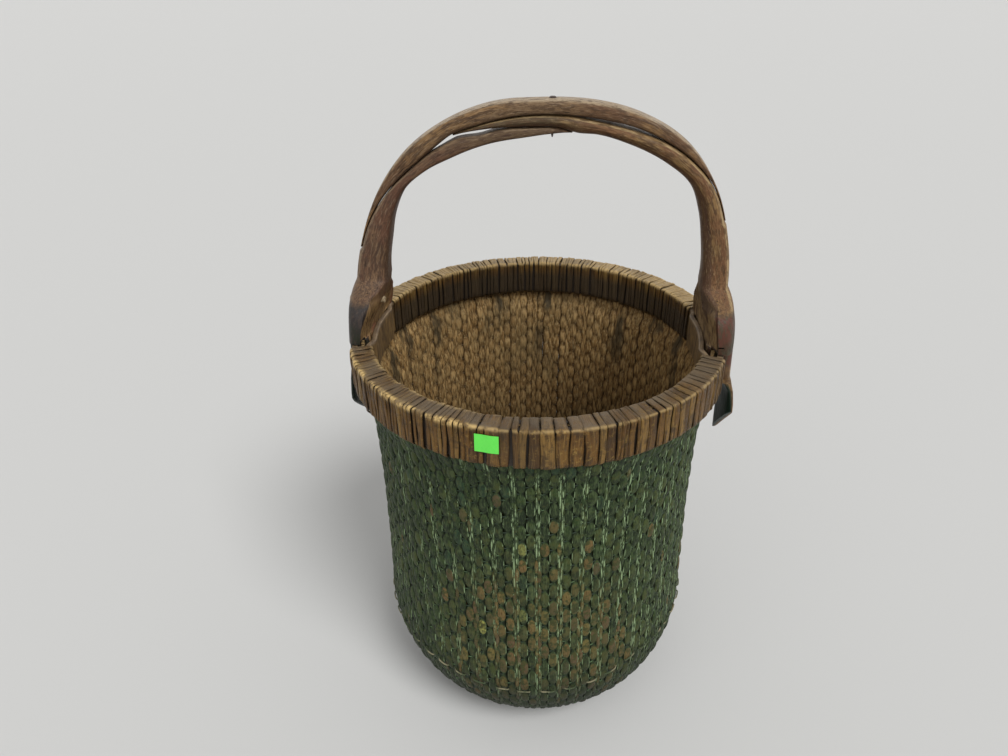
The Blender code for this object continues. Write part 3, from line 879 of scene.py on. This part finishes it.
def windStrips(name, start, end, seed):
    rng = np.random.default_rng(seed)
    stations = rim["stations"]
    radius, height, awayR, awayZ = rimPath(stations)
    toOuter = np.hypot(radius - rim["outer"], height - rim["top"])
    toInner = np.hypot(radius - rim["inner"], height - rim["top"])
    share = np.linspace(-1.0, 1.0, stations)
    strips = []
    turn = start
    while turn < end - 0.6:
        width = min(stripWidth(turn, rng), end - turn)
        mark = seed * 1000 + len(strips) * 3
        strip, column, row = gridSleeve("strip", stations, rim["around"])
        # the strips on the front left are the most worn
        used = float(softStep(*rim["wornFrom"], turn) * softStep(*rim["wornTo"], turn))
        back = 1.0 if turn > 0.0 else 0.0
        # the corner mark is wear and a painted highlight along the top corners
        wornGlintWidth = rim["wornGlintArris"] * (1.0 + 1.6 * used + 1.0 * back)
        innerWornGlint = (0.55 + 0.35 * back) * np.exp(-(toInner / wornGlintWidth) ** 2)
        arris = np.maximum(np.exp(-(toOuter / wornGlintWidth) ** 2), innerWornGlint) * (0.75 + 0.65 * used)
        slant = rng.uniform(*rim["slant"])
        bow = rng.uniform(*rim["bow"])
        middle = turn + 0.5 * width + 0.5 * slant * share + bow * (1.0 - share ** 2)
        middle = middle + rim["sway"] * wander(stations, 6, mark + 2)
        middle = np.clip(middle, start + 0.5 * width, end - 0.5 * width)
        spin = 2.0 * math.pi * row / rim["around"]
        half = 0.5 * width * (1.0 + rim["ragged"] * wander(stations, 5, mark)) * 0.985
        flat = np.sign(np.sin(spin)) * np.abs(np.sin(spin)) ** 0.75
        crown = np.sign(np.cos(spin)) * np.abs(np.cos(spin)) ** 0.6
        ripple = rim["ripple"] + rim["wornRipple"] * used
        lift = rng.uniform(*rim["lift"]) + ripple * wander(stations, 4, mark + 1)
        offset = rim["thick"] * crown + lift[column]
        reach = radius[column] + offset * awayR[column]
        level = height[column] + offset * awayZ[column]
        place = np.radians(middle[column] + half[column] * flat)
        movePoints(strip, roundAxis(reach, place, level))
        paintPoints(strip, "grainTone", np.full(len(reach), rng.uniform()))
        paintPoints(strip, "side", np.sin(spin))
        paintPoints(strip, "arris", arris[column])
        paintPoints(strip, "inside", np.clip((rim["insideFrom"] - radius[column]) / 0.002, 0.0, 1.0))
        paintPoints(strip, "topFace", np.clip(awayZ[column], 0.0, 1.0))
        strips.append(strip)
        turn += width
    return joinAll(strips, name)


def stripFinish():
    newFinish("willowStrip", 0.4, 0.22)
    vector = placed()
    rightward, backward, level = axesOf("XYZ")
    tone, side, arris, within, topFace = attributesOf("grainTone", "side", "arris", "inside", "topFace")
    speck = noise(vector, 300.0, 4.0, 0.6)
    stain = noise(vector, 85.0, 4.0, 0.6)
    patch = noise(vector, 26.0, 4.0)
    broad = noise(vector, 9.0)
    wrinkle = noise(placed((2.0, 3.0, 1.0), "UV"), 3.0, 5.0, 0.65, 0.4)
    fibre = noise(placed((1.6, 14.0, 1.0), "UV"), 3.0, 3.0, 0.6)
    behind = ramp(backward, -0.06, 0.06)
    # a tone for each strip, with painted light making the top of the back rim lighter
    color = mix(ramp(tone, 0.0, 0.5), (0.062, 0.029, 0.008), (0.148, 0.072, 0.016))
    color = coats(color, [(tone, 0.62, 1.0, 1.0, (0.24, 0.14, 0.038))])
    color = mix(times(behind, topFace), color, (0.48, 0.335, 0.155))
    # creases, fibres and stains, all fainter behind
    creased = calc("SUBTRACT", ramp(wrinkle, 0.47, 0.62, 0.0, 0.9), times(behind, 0.55))
    color = mix(creased, color, (0.05, 0.026, 0.009))
    fibrous = times(ramp(fibre, 0.5, 0.62), calc("SUBTRACT", 0.6, times(behind, 0.4)))
    color = mix(fibrous, color, (0.045, 0.023, 0.008))
    color = coats(color, [(fibre, 0.46, 0.36, 0.4, (0.34, 0.22, 0.075))])
    stained = times(ramp(stain, 0.5, 0.66), calc("SUBTRACT", 0.8, times(behind, 0.45)))
    color = mix(stained, color, (0.052, 0.03, 0.013))
    color = coats(color, [(speck, 0.56, 0.7, 0.7, (0.28, 0.18, 0.05))])
    # grey on top in front, golden where the corners are worn and a painted highlight along them, dark inside
    # below the corner as dirt and painted shade
    grey = times(topFace, ramp(patch, 0.36, 0.6, 0.2, 0.85))
    grey = times(grey, ramp(backward, -0.06, 0.06, 1.0, 0.15))
    color = mix(grey, color, (0.155, 0.115, 0.072))
    color = coats(color, [(broad, 0.52, 0.66, 0.4, (0.06, 0.042, 0.024))])
    # worn gold and a painted highlight along the top corners
    bright = times(arris, ramp(stain, 0.41, 0.55, 0.15, 0.95))
    color = mix(bright, color, (0.66, 0.46, 0.19))
    # dirt and painted shade on the inner face below the top corner
    low = times(ramp(level, 0.498, 0.48), 0.9)
    dark = times(within, calc("MAXIMUM", low, 0.15))
    color = mix(dark, color, (0.056, 0.041, 0.025))
    # dark lines between the strips, fainter on top and to the right
    spared = times(topFace, calc("ADD", times(behind, 0.15), 0.35))
    gap = calc("SUBTRACT", ramp(calc("ABSOLUTE", side), 0.82, 1.0), spared)
    gap = times(gap, ramp(rightward, -0.06, 0.12, 1.0, 0.62))
    color = mix(gap, color, (0.02, 0.01, 0.003))
    relief = calc("SUBTRACT", calc("ADD", wrinkle, stain), fibre)
    return finishWith(color, relief, 0.0014, 0.8, ramp(speck, 0.3, 0.7, 0.28, 0.55))


def makeBindings():
    finish = stripFinish()
    bare = rim["bareHalfAngle"]
    for name, ends in bindings.items():
        strips = windStrips(name, ends["start"] + bare, ends["start"] + 180.0 - bare, ends["seed"])
        dress(strips, finish)
        hangOn(strips, ends["node"])


makeBindings()
print("rim strips wound")


# handle: two legs and an arch, each a bent stick
handle = {
    "fanX": 0.003,
    "fanHeight": 0.06,
    "flare": 0.0035,
    "flareOver": 9.0,
    "squareness": 3.6,
    "bevel": 0.42,
    "bevelFrom": (2.0, 24.0),
    # how far width, place and lean of a stick stray, and stations from knot to knot
    "stray": [(0.045, 7), (0.0009, 11), (0.07, 16)],
    "splitDepth": 0.0011,
    "splitPitch": 420.0,
    "gap": 0.0003,
    "around": 64,
    "fanStep": 1.25,
    "footSteps": 5,
    "frontCut": 0.0125,
    "blockHalf": 0.0585,
    "notchOut": 0.2078,
    "notchIn": 0.1935,
    "notchTop": 0.5003,
    "tongueIn": 0.1863,
    "tailIn": 0.2084,
    "outline": [
        (0, 0.201), (15, 0.201), (30, 0.2045), (45, 0.2055), (60, 0.199), (75, 0.1915), (90, 0.187),
        (105, 0.1895), (120, 0.1915), (135, 0.194), (150, 0.1945), (165, 0.196), (180, 0.202),
    ],
    "archUnder": [
        (20, 0.2005), (30, 0.2022), (40, 0.1985), (50, 0.192), (60, 0.185), (70, 0.178), (80, 0.1742),
        (90, 0.1728), (110, 0.1735), (120, 0.1768), (125, 0.1762), (130, 0.1758), (140, 0.179),
        (150, 0.1857), (160, 0.1917), (170, 0.1957),
    ],
    "rightUnder": [
        (0, 0.172), (15, 0.1746), (25, 0.1795), (35, 0.1835), (45, 0.1775), (60, 0.168), (70, 0.163),
        (77, 0.1588), (84, 0.1611), (92, 0.1606), (100, 0.1625), (110, 0.1678), (120, 0.1748),
    ],
    "leftUnder": [
        (78, 0.1581), (82, 0.1563), (86, 0.1545), (97, 0.1515), (110, 0.1532), (125, 0.1585), (135, 0.1655),
        (145, 0.171), (155, 0.1695), (165, 0.166), (180, 0.1665),
    ],
    "rightSlit": [(44, 0.0), (50, 0.0006), (62, 0.0024), (70, 0.0019), (80, 0.0)],
    "leftSlit": [
        (100, 0.0), (106, 0.0016), (112, 0.0042), (118, 0.004), (125, 0.0026), (130, 0.0002), (135, 0.0),
    ],
    "legHalves": [(0.0, 0.017), (0.45, 0.0145), (0.7, 0.013), (0.92, 0.0108), (1.0, 0.0045)],
    "archHalves": [(20, 0.007), (45, 0.0115), (95, 0.0125), (145, 0.0115), (170, 0.007)],
    "archStart": 20,
    "archEnd": 170,
    "rightTip": 120,
    "leftTip": 78.75,
}


# colours of the sticks; the arch has no foot
stickLooks = {
    "leftStick": {
        "node": "left_leg", "slot": "left_wood", "base": (0.165, 0.096, 0.05), "dark": (0.062, 0.034, 0.021),
        "stain": (0.105, 0.045, 0.026), "top": (0.25, 0.165, 0.095), "under": (0.062, 0.034, 0.02),
        "edge": (0.3, 0.22, 0.14), "crown": (0.11, 0.072, 0.038), "underShadeFrom": -0.72,
        "end": (0.028, 0.022, 0.02), "endToo": (0.022, 0.024, 0.014), "endSpeck": (0.052, 0.036, 0.028),
        "split": (0.33, 0.205, 0.09), "splitToo": (0.19, 0.08, 0.042), "tail": (0.014, 0.02, 0.014),
        "endTop": 0.541, "tailFrom": 2.0,
    },
    "rightStick": {
        "node": "right_leg", "slot": "right_wood", "base": (0.25, 0.15, 0.058), "dark": (0.08, 0.042, 0.019),
        "stain": (0.14, 0.062, 0.028), "top": (0.31, 0.2, 0.09), "under": (0.068, 0.034, 0.022),
        "edge": (0.4, 0.29, 0.15), "crown": (0.06, 0.046, 0.026), "underShadeFrom": -0.16,
        "end": (0.09, 0.034, 0.02), "endToo": (0.03, 0.028, 0.014), "endSpeck": (0.055, 0.046, 0.026),
        "split": (0.34, 0.225, 0.11), "splitToo": (0.07, 0.042, 0.026), "tail": (0.012, 0.024, 0.015),
        "endTop": 0.54, "tailFrom": 0.12,
    },
    "upperArchStick": {
        "node": "upper_arch", "slot": "arch_wood",
        "base": (0.235, 0.135, 0.056), "dark": (0.066, 0.036, 0.019), "stain": (0.11, 0.056, 0.03),
        "top": (0.43, 0.335, 0.225), "under": (0.05, 0.029, 0.018), "edge": (0.36, 0.27, 0.17),
        "crown": (0.19, 0.12, 0.062), "underShadeFrom": -0.55,
    },
}


def curveAt(key, at):
    return smoothCurve(handle[key], at)


def rightTopAt(angle):
    if angle < handle["archStart"]:
        return curveAt("outline", angle)
    covered = min(curveAt("outline", angle), curveAt("archUnder", angle) - handle["gap"])
    return covered - curveAt("rightSlit", angle)


def leftTopAt(angle):
    if angle > handle["archEnd"]:
        return curveAt("outline", angle)
    under = curveAt("rightUnder", min(angle, handle["rightTip"]))
    beside = min(curveAt("outline", angle) + handle["gap"], curveAt("archUnder", angle))
    share = float(softStep(112.0, 128.0, angle))
    return under + (beside - under) * share - handle["gap"] - curveAt("leftSlit", angle)


def stickHalf(angle, tip, foot):
    flare = handle["flare"] * max(0.0, 1.0 - abs(angle - foot) / handle["flareOver"]) ** 2
    return curveAt("legHalves", abs(angle - foot) / abs(tip - foot)) + flare


def roundedPoints(squareness):
    turn = 2.0 * math.pi * np.arange(handle["around"]) / handle["around"]
    power = 2.0 / squareness
    x = np.sign(np.cos(turn)) * np.abs(np.cos(turn)) ** power
    y = np.sign(np.sin(turn)) * np.abs(np.sin(turn)) ** power
    return x, y


def fanRing(angle, low, high, half, seed, bevel=0.0):
    # a hewn stick: flat faces, worn edges, and a width that wanders a little
    x, y = roundedPoints(handle["squareness"])
    y = y * (1.0 - bevel * np.clip(-x - 0.1, 0.0, 1.0))
    turn = math.radians(angle)
    radius = 0.5 * (low + high) + 0.5 * (high - low) * x
    level = body["rimHeight"] + handle["fanHeight"] + radius * math.sin(turn)
    at = int(round(angle / handle["fanStep"]))
    strays = []
    for place, (amount, step) in enumerate(handle["stray"]):
        strays.append(amount * wander(180, step, seed + place)[at])
    widen, shift, lean = strays
    across = half * (1.0 + widen) * (y + lean * x * (1.0 - np.abs(y))) + shift
    return np.stack([handle["fanX"] + radius * math.cos(turn), across, level], 1)


def footRing(side, row):
    height, low, high, half, centre, squareness, followIn, followOut, tilt = row
    x, y = roundedPoints(squareness)
    along = centre + half * y
    onFoot = float(softStep(-0.004, 0.0, height) * (1.0 - softStep(0.04, 0.057, height)))
    # the inner face runs back towards the front end of the block
    cut = handle["frontCut"] * onFoot * softStep(0.25, 1.0, -y) * np.clip(-4.0 * x, 0.0, 1.0)
    # the inner face is split wood: upright ridges of about a millimetre
    knots = np.random.default_rng(60 + side).uniform(-1.0, 1.0, 121)
    ridges = np.interp(along * handle["splitPitch"] + height * 30.0 + 60.0, np.arange(121), knots)
    rough = handle["splitDepth"] * ridges * np.clip(-4.0 * x - 2.6, 0.0, 1.0) * onFoot
    radius = 0.5 * (low + high) + 0.5 * (high - low) * x + rough + cut
    follow = 0.5 * (followIn + followOut) + 0.5 * (followOut - followIn) * x
    radius = radius - follow * along * along / (2.0 * 0.2012)
    return np.stack([side * radius, along, body["rimHeight"] + height + tilt * half * y], 1)


def finerRows(rows):
    # steps between the rows of a foot, smooth on the block
    fine = []
    steps = handle["footSteps"]
    block = [row for row in rows if row[0] > -0.002]
    for first, second in zip(rows, rows[1:]):
        jump = abs(second[0] - first[0]) < 0.0035
        for step in range(1 if jump else steps):
            between = [a + (b - a) * step / steps for a, b in zip(first, second)]
            if first[0] > -0.002:
                at = between[0]
                columns = [[(row[0], row[part]) for row in block] for part in range(1, len(first))]
                between = [at, *(smoothCurve(keys, at) for keys in columns)]
            fine.append(between)
    fine.append(list(rows[-1]))
    return fine


# height over the rim, inner and outer radius, half length, centre, squareness, how far the inner and
# the outer face follow the rim, and tilt
footRows = {
    -1: [
        (-0.104, 0.2112, 0.2158, 0.0215, -0.0165, 3.0, 0.5, 0.5, -0.85),
        (-0.095, 0.2106, 0.2156, 0.0255, -0.0205, 3.2, 0.5, 0.5, -0.7),
        (-0.08, 0.2098, 0.215, 0.028, -0.02, 3.5, 0.5, 0.5, -0.35),
        (-0.05, "tailIn", 0.2128, 0.034, -0.014, 4.5, 0.5, 0.5, 0.0),
        (-0.041, "tailIn", 0.2126, 0.037, -0.009, 5.0, 0.9, 0.7, 0.0),
        (-0.04, "tongueIn", 0.2124, 0.0375, -0.003, 6.0, 1.0, 0.7, 0.0),
        (-0.003, "tongueIn", 0.212, 0.04, 0.0, 6.0, 1.0, 0.9, 0.0),
        (-0.001, "tongueIn", 0.211, "blockHalf", 0.0, 7.0, 1.0, 1.0, 0.0),
        (0.012, 0.183, 0.21, "blockHalf", 0.0, 7.0, 1.0, 1.0, 0.0),
        (0.026, 0.177, 0.2085, 0.0538, -0.0028, 6.5, 0.95, 0.95, 0.0),
        (0.037, 0.1715, 0.2068, 0.0455, -0.0055, 5.5, 0.85, 0.85, 0.0),
        (0.046, 0.1675, 0.2045, 0.0335, -0.005, 4.6, 0.7, 0.7, 0.0),
        (0.053, 0.165, 0.202, 0.0248, -0.0022, 4.0, 0.45, 0.45, 0.0),
        (0.057, 0.164, 0.2, 0.0217, -0.0009, 3.6, 0.2, 0.2, 0.0),
    ],
    1: [
        (-0.104, 0.2115, 0.218, 0.0275, -0.0225, 3.0, -0.7, -0.7, -1.04),
        (-0.078, 0.2108, 0.2174, 0.028, -0.0225, 4.0, -0.6, -0.6, -0.45),
        (-0.05, 0.2098, 0.2168, 0.031, -0.019, 5.0, -0.3, -0.3, 0.0),
        (-0.041, "tailIn", 0.2165, 0.035, -0.013, 5.0, 0.5, 0.1, 0.0),
        (-0.04, "tongueIn", 0.2165, 0.0375, -0.003, 6.0, 1.0, 0.1, 0.0),
        (-0.003, "tongueIn", 0.2165, 0.04, 0.0, 6.0, 1.0, 0.6, 0.0),
        (-0.001, "tongueIn", 0.2165, "blockHalf", 0.0, 5.0, 1.0, 0.9, 0.0),
        (0.012, 0.185, 0.216, "blockHalf", 0.0, 5.0, 1.0, 0.9, 0.0),
        (0.026, 0.1815, 0.2145, 0.0538, -0.0028, 5.0, 0.95, 0.9, 0.0),
        (0.037, 0.1785, 0.2122, 0.0455, -0.0055, 4.6, 0.85, 0.85, 0.0),
        (0.046, 0.1765, 0.2098, 0.0335, -0.005, 4.2, 0.7, 0.7, 0.0),
        (0.053, 0.1755, 0.2068, 0.0248, -0.0022, 3.8, 0.45, 0.45, 0.0),
        (0.057, 0.175, 0.2045, 0.0217, -0.0009, 3.6, 0.2, 0.2, 0.0),
    ],
}


def sleeveFromRings(name, rings):
    rings = np.asarray(rings)
    stations, around = rings.shape[:2]
    sleeve, column, row = gridSleeve(name, stations, around)
    movePoints(sleeve, rings[column, row % around])
    steps = np.linalg.norm(np.diff(rings.mean(axis=1), axis=0), axis=1)
    along = np.concatenate([[0.0], np.cumsum(steps)])
    paintPoints(sleeve, "along", along[column])
    paintPoints(sleeve, "around", np.cos(2.0 * math.pi * row / around))
    paintPoints(sleeve, "across", np.sin(2.0 * math.pi * row / around))
    # distance from the middle of the stick towards its outer face
    outwards = rings[:, 0] - rings[:, around // 2]
    outwards = outwards / np.linalg.norm(outwards, axis=1)[:, None]
    depth = np.einsum("sap,sp->sa", rings - rings.mean(axis=1)[:, None], outwards)
    paintPoints(sleeve, "depth", depth[column, row % around])
    closeSeams(sleeve)
    return sleeve


def addCylinder(name, radius, low, high):
    deselectAll()
    middle = (0.0, 0.0, 0.5 * (low + high))
    bpy.ops.mesh.primitive_cylinder_add(vertices=256, radius=radius, depth=high - low, location=middle)
    cylinder = bpy.context.active_object
    cylinder.name = name
    return cylinder


def cutAway(piece, cutter):
    deselectAll()
    bpy.context.view_layer.objects.active = piece
    piece.select_set(True)
    away = piece.modifiers.new("cut", "BOOLEAN")
    away.operation = "DIFFERENCE"
    away.solver = "EXACT"
    away.object = cutter
    bpy.ops.object.modifier_apply(modifier="cut")
    bpy.data.objects.remove(cutter, do_unlink=True)


def cutNotch(piece):
    # the foot is notched over the wall and the outer hoop
    ring = addCylinder("notchRing", handle["notchOut"], 0.36, handle["notchTop"])
    cutAway(ring, addCylinder("notchCore", handle["notchIn"], 0.35, 0.51))
    cutAway(piece, ring)
    bpy.ops.object.shade_smooth_by_angle(angle=math.radians(28.0))


def makeStick(name, side):
    rows = []
    for row in footRows[side]:
        rows.append([handle[value] if isinstance(value, str) else value for value in row])
    rings = [footRing(side, row) for row in finerRows(rows)]
    foot, tip, under, topAt, seed = 0.0, handle["rightTip"], "rightUnder", rightTopAt, 41
    if side < 0:
        foot, tip, under, topAt, seed = 180.0, handle["leftTip"], "leftUnder", leftTopAt, 31
    for angle in np.arange(foot, tip + side * 0.01, side * handle["fanStep"]):
        # only the right stick has its inner corners cut off
        bevel = handle["bevel"] * float(softStep(*handle["bevelFrom"], angle)) if side > 0 else 0.0
        half = stickHalf(angle, tip, foot)
        rings.append(fanRing(angle, curveAt(under, angle), topAt(angle), half, seed, bevel))
    stick = sleeveFromRings(name, rings)
    cutNotch(stick)
    return stick


def makeArch():
    rings = []
    for angle in np.arange(handle["archStart"], handle["archEnd"] + 0.01, handle["fanStep"]):
        low = curveAt("archUnder", angle)
        high = max(curveAt("outline", angle), low + 0.0012)
        rings.append(fanRing(angle, low, high, curveAt("archHalves", angle), 51))
    return sleeveFromRings("upperArchStick", rings)


def footCoats(looks, color, level, front, around, patch, speck):
    # foot: a dark painted end, a split inner face, and a dark tail below the rim
    end = times(
        ramp(level, looks["endTop"] + 0.004, looks["endTop"] - 0.003), ramp(level, 0.47, 0.48),
        ramp(front, -0.018, -0.034), ramp(around, -0.8, -0.66))
    endPaint = mix(ramp(patch, 0.4, 0.6), looks["end"], looks["endToo"])
    endPaint = coats(endPaint, [(speck, 0.47, 0.6, 0.8, looks["endSpeck"])])
    color = mix(end, color, endPaint)
    strand = noise(placed((1.0, 1.0, 0.1)), 260.0, 4.0, 0.7)
    inner = times(ramp(level, 0.56, 0.548), ramp(around, -0.66, -0.76))
    splitWood = mix(ramp(strand, 0.38, 0.56), (0.06, 0.03, 0.014), looks["split"])
    splitWood = coats(splitWood, [
        (patch, 0.45, 0.6, 0.8, looks["splitToo"]),
        # painted shadow: darker at the top of the inner face
        (level, 0.522, 0.546, 0.7, (0.058, 0.033, 0.018)),
    ])
    color = mix(inner, color, splitWood)
    facing = ramp(around, looks["tailFrom"], looks["tailFrom"] - 0.2)
    color = mix(times(ramp(level, 0.461, 0.455), facing), color, looks["tail"])
    return color, times(inner, strand)


def stickFinish(name, looks):
    newFinish(name, 0.45, 0.22)
    along, around, across, depth = attributesOf("along", "around", "across", "depth")
    rightward, front, level = axesOf("XYZ")
    # two layouts that follow the stick, one long drawn and one less
    lays = []
    for stretch in (0.09, 0.28):
        lays.append(feed(addNode("CombineXYZ"), {0: times(along, stretch), 1: front, 2: depth}, 0))
    grain = noise(lays[0], 330.0, 5.0, 0.65, 0.4)
    crack = noise(lays[0], 260.0, 4.0, 0.7, 0.1)
    fibre = noise(lays[0], 1300.0, 4.0, 0.7, 0.2)
    patch = noise(placed(), 22.0, 4.0)
    speck = noise(lays[1], 330.0, 4.0, 0.6)
    color = mix(ramp(grain, 0.38, 0.58), looks["dark"], looks["base"])
    color = coats(color, [(patch, 0.44, 0.6, 0.8, looks["stain"])])
    # the overlap under the crown has another tone
    crown = times(
        ramp(level, 0.69, 0.712), ramp(rightward, 0.06, 0.02), ramp(patch, 0.4, 0.56, 0.1, 0.85))
    color = mix(crown, color, looks["crown"])
    # the top face is paler, partly bleached and partly a painted highlight from above, the underside is
    # painted shade, the edges are rubbed light and carry a painted highlight
    top = times(
        ramp(around, 0.62, 0.78), ramp(speck, 0.3, 0.55, 0.55, 1.0), ramp(level, 0.52, 0.66, 0.3, 1.0))
    color = mix(top, color, looks["top"])
    # painted shade on the underside and the lower inner face
    underShadeFrom = looks["underShadeFrom"]
    color = coats(color, [(around, underShadeFrom + 0.08, underShadeFrom - 0.08, 0.8, looks["under"])])
    # the upper edges are rubbed light, with a painted highlight on them
    corner = calc("ABSOLUTE", times(around, across))
    rub = times(
        ramp(corner, 0.42, 0.5), ramp(patch, 0.42, 0.6, 0.05, 0.8), ramp(around, 0.0, 0.3))
    color = mix(rub, color, looks["edge"])
    color = coats(color, [
        (speck, 0.5, 0.6, 0.75, looks["dark"]),
        (fibre, 0.5, 0.62, 0.7, looks["dark"]),
        (fibre, 0.46, 0.34, 0.45, looks["edge"]),
    ])
    deep = ramp(crack, 0.63, 0.71)
    relief = calc("SUBTRACT", calc("ADD", grain, speck), deep)
    if "endTop" in looks:
        color, strands = footCoats(looks, color, level, front, around, patch, speck)
        relief = calc("ADD", relief, strands)
    color = mix(deep, color, (0.018, 0.01, 0.006))
    return finishWith(color, relief, 0.001, 0.8, ramp(patch, 0.3, 0.7, 0.38, 0.62))


def makeHandle():
    for stick in (makeStick("leftStick", -1), makeStick("rightStick", 1), makeArch()):
        looks = stickLooks[stick.name]
        dress(stick, stickFinish(stick.name + "Wood", looks))
        hangOn(stick, looks["node"])


makeHandle()
print("handle made")


# hoops, nail and peg keep their CAD shape
def woodFinish(name, light, dark, roughness, scale):
    newFinish(name, roughness)
    grain = noise(placed((1.0, 1.0, 6.0)), scale, 4.0, 0.6)
    color = mix(ramp(grain, 0.3, 0.7), dark, light)
    return finishWith(color, grain, 0.0004, 0.6)


def hoopFinish(name, light, dark):
    # bare wood between the two bindings, darker where the strips cover it
    newFinish(name, 0.6)
    rightward, level = axesOf("XZ")
    grain = noise(placed((1.0, 1.0, 6.0)), 60.0, 4.0, 0.6)
    upright = noise(placed((1.0, 1.0, 0.15)), 330.0, 4.0, 0.6)
    color = mix(ramp(grain, 0.3, 0.7), dark, light)
    brown = mix(ramp(upright, 0.38, 0.62), (0.06, 0.035, 0.014), (0.19, 0.115, 0.042))
    color = mix(ramp(level, 0.4955, 0.4925), color, brown)
    color = coats(color, [(calc("ABSOLUTE", rightward), 0.178, 0.17, 1.0, (0.02, 0.012, 0.006))])
    return finishWith(color, calc("ADD", grain, upright), 0.0006, 0.7)


def dressNodes():
    finishes = {
        "inner_hoop": hoopFinish("bareHoopInner", (0.25, 0.175, 0.1), (0.1, 0.066, 0.038)),
        "outer_hoop": hoopFinish("bareHoopOuter", (0.26, 0.18, 0.1), (0.11, 0.07, 0.04)),
        "crown_nail": woodFinish("rustedNail", (0.06, 0.035, 0.024), (0.02, 0.013, 0.011), 0.7, 500.0),
        "left_foot_peg": woodFinish("barePeg", (0.5, 0.4, 0.25), (0.28, 0.2, 0.11), 0.6, 260.0),
    }
    for node, finish in finishes.items():
        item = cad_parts[node]
        for slot in item.material_slots:
            slot.material = finish


dressNodes()
print("hoops, nail and peg dressed")


# blank price label on the rim
label = {
    "angle": -99.65,
    "level": 0.4833,
    "width": 0.0232,
    "tall": 0.0196,
    "thick": 0.0003,
    "tilt": -0.5,
    "stand": 0.0019,
    "ripple": 0.0002,
}


def paperFinish():
    newFinish("greenPaper", 0.6)
    fibre = noise(placed(), 300.0)
    color = mix(fibre, (0.1, 0.72, 0.07), (0.16, 0.85, 0.1))
    return finishWith(color, fibre, 0.0001, 0.5)


def makeLabel():
    deselectAll()
    bpy.ops.mesh.primitive_grid_add(x_subdivisions=12, y_subdivisions=8, size=1.0)
    tag = bpy.context.active_object
    tag.name = "blankLabel"
    flat = readPoints(tag)
    across = flat[:, 0] * label["width"]
    up = flat[:, 1] * label["tall"]
    lean = math.radians(label["tilt"])
    x = across * math.cos(lean) - up * math.sin(lean)
    z = across * math.sin(lean) + up * math.cos(lean)
    reach = rim["outer"] + label["stand"] + label["ripple"] * np.sin(across * 400.0)
    turn = math.radians(label["angle"]) + x / reach
    movePoints(tag, roundAxis(reach, turn, label["level"] + z))
    thicken = tag.modifiers.new("paper", "SOLIDIFY")
    thicken.thickness = label["thick"]
    thicken.offset = 1.0
    bpy.ops.object.modifier_apply(modifier="paper")
    bpy.ops.object.mode_set(mode="EDIT")
    bpy.ops.mesh.select_all(action="SELECT")
    bpy.ops.mesh.normals_make_consistent(inside=False)
    bpy.ops.object.mode_set(mode="OBJECT")
    dress(tag, paperFinish())
    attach(tag, "root")


makeLabel()
print("label made")
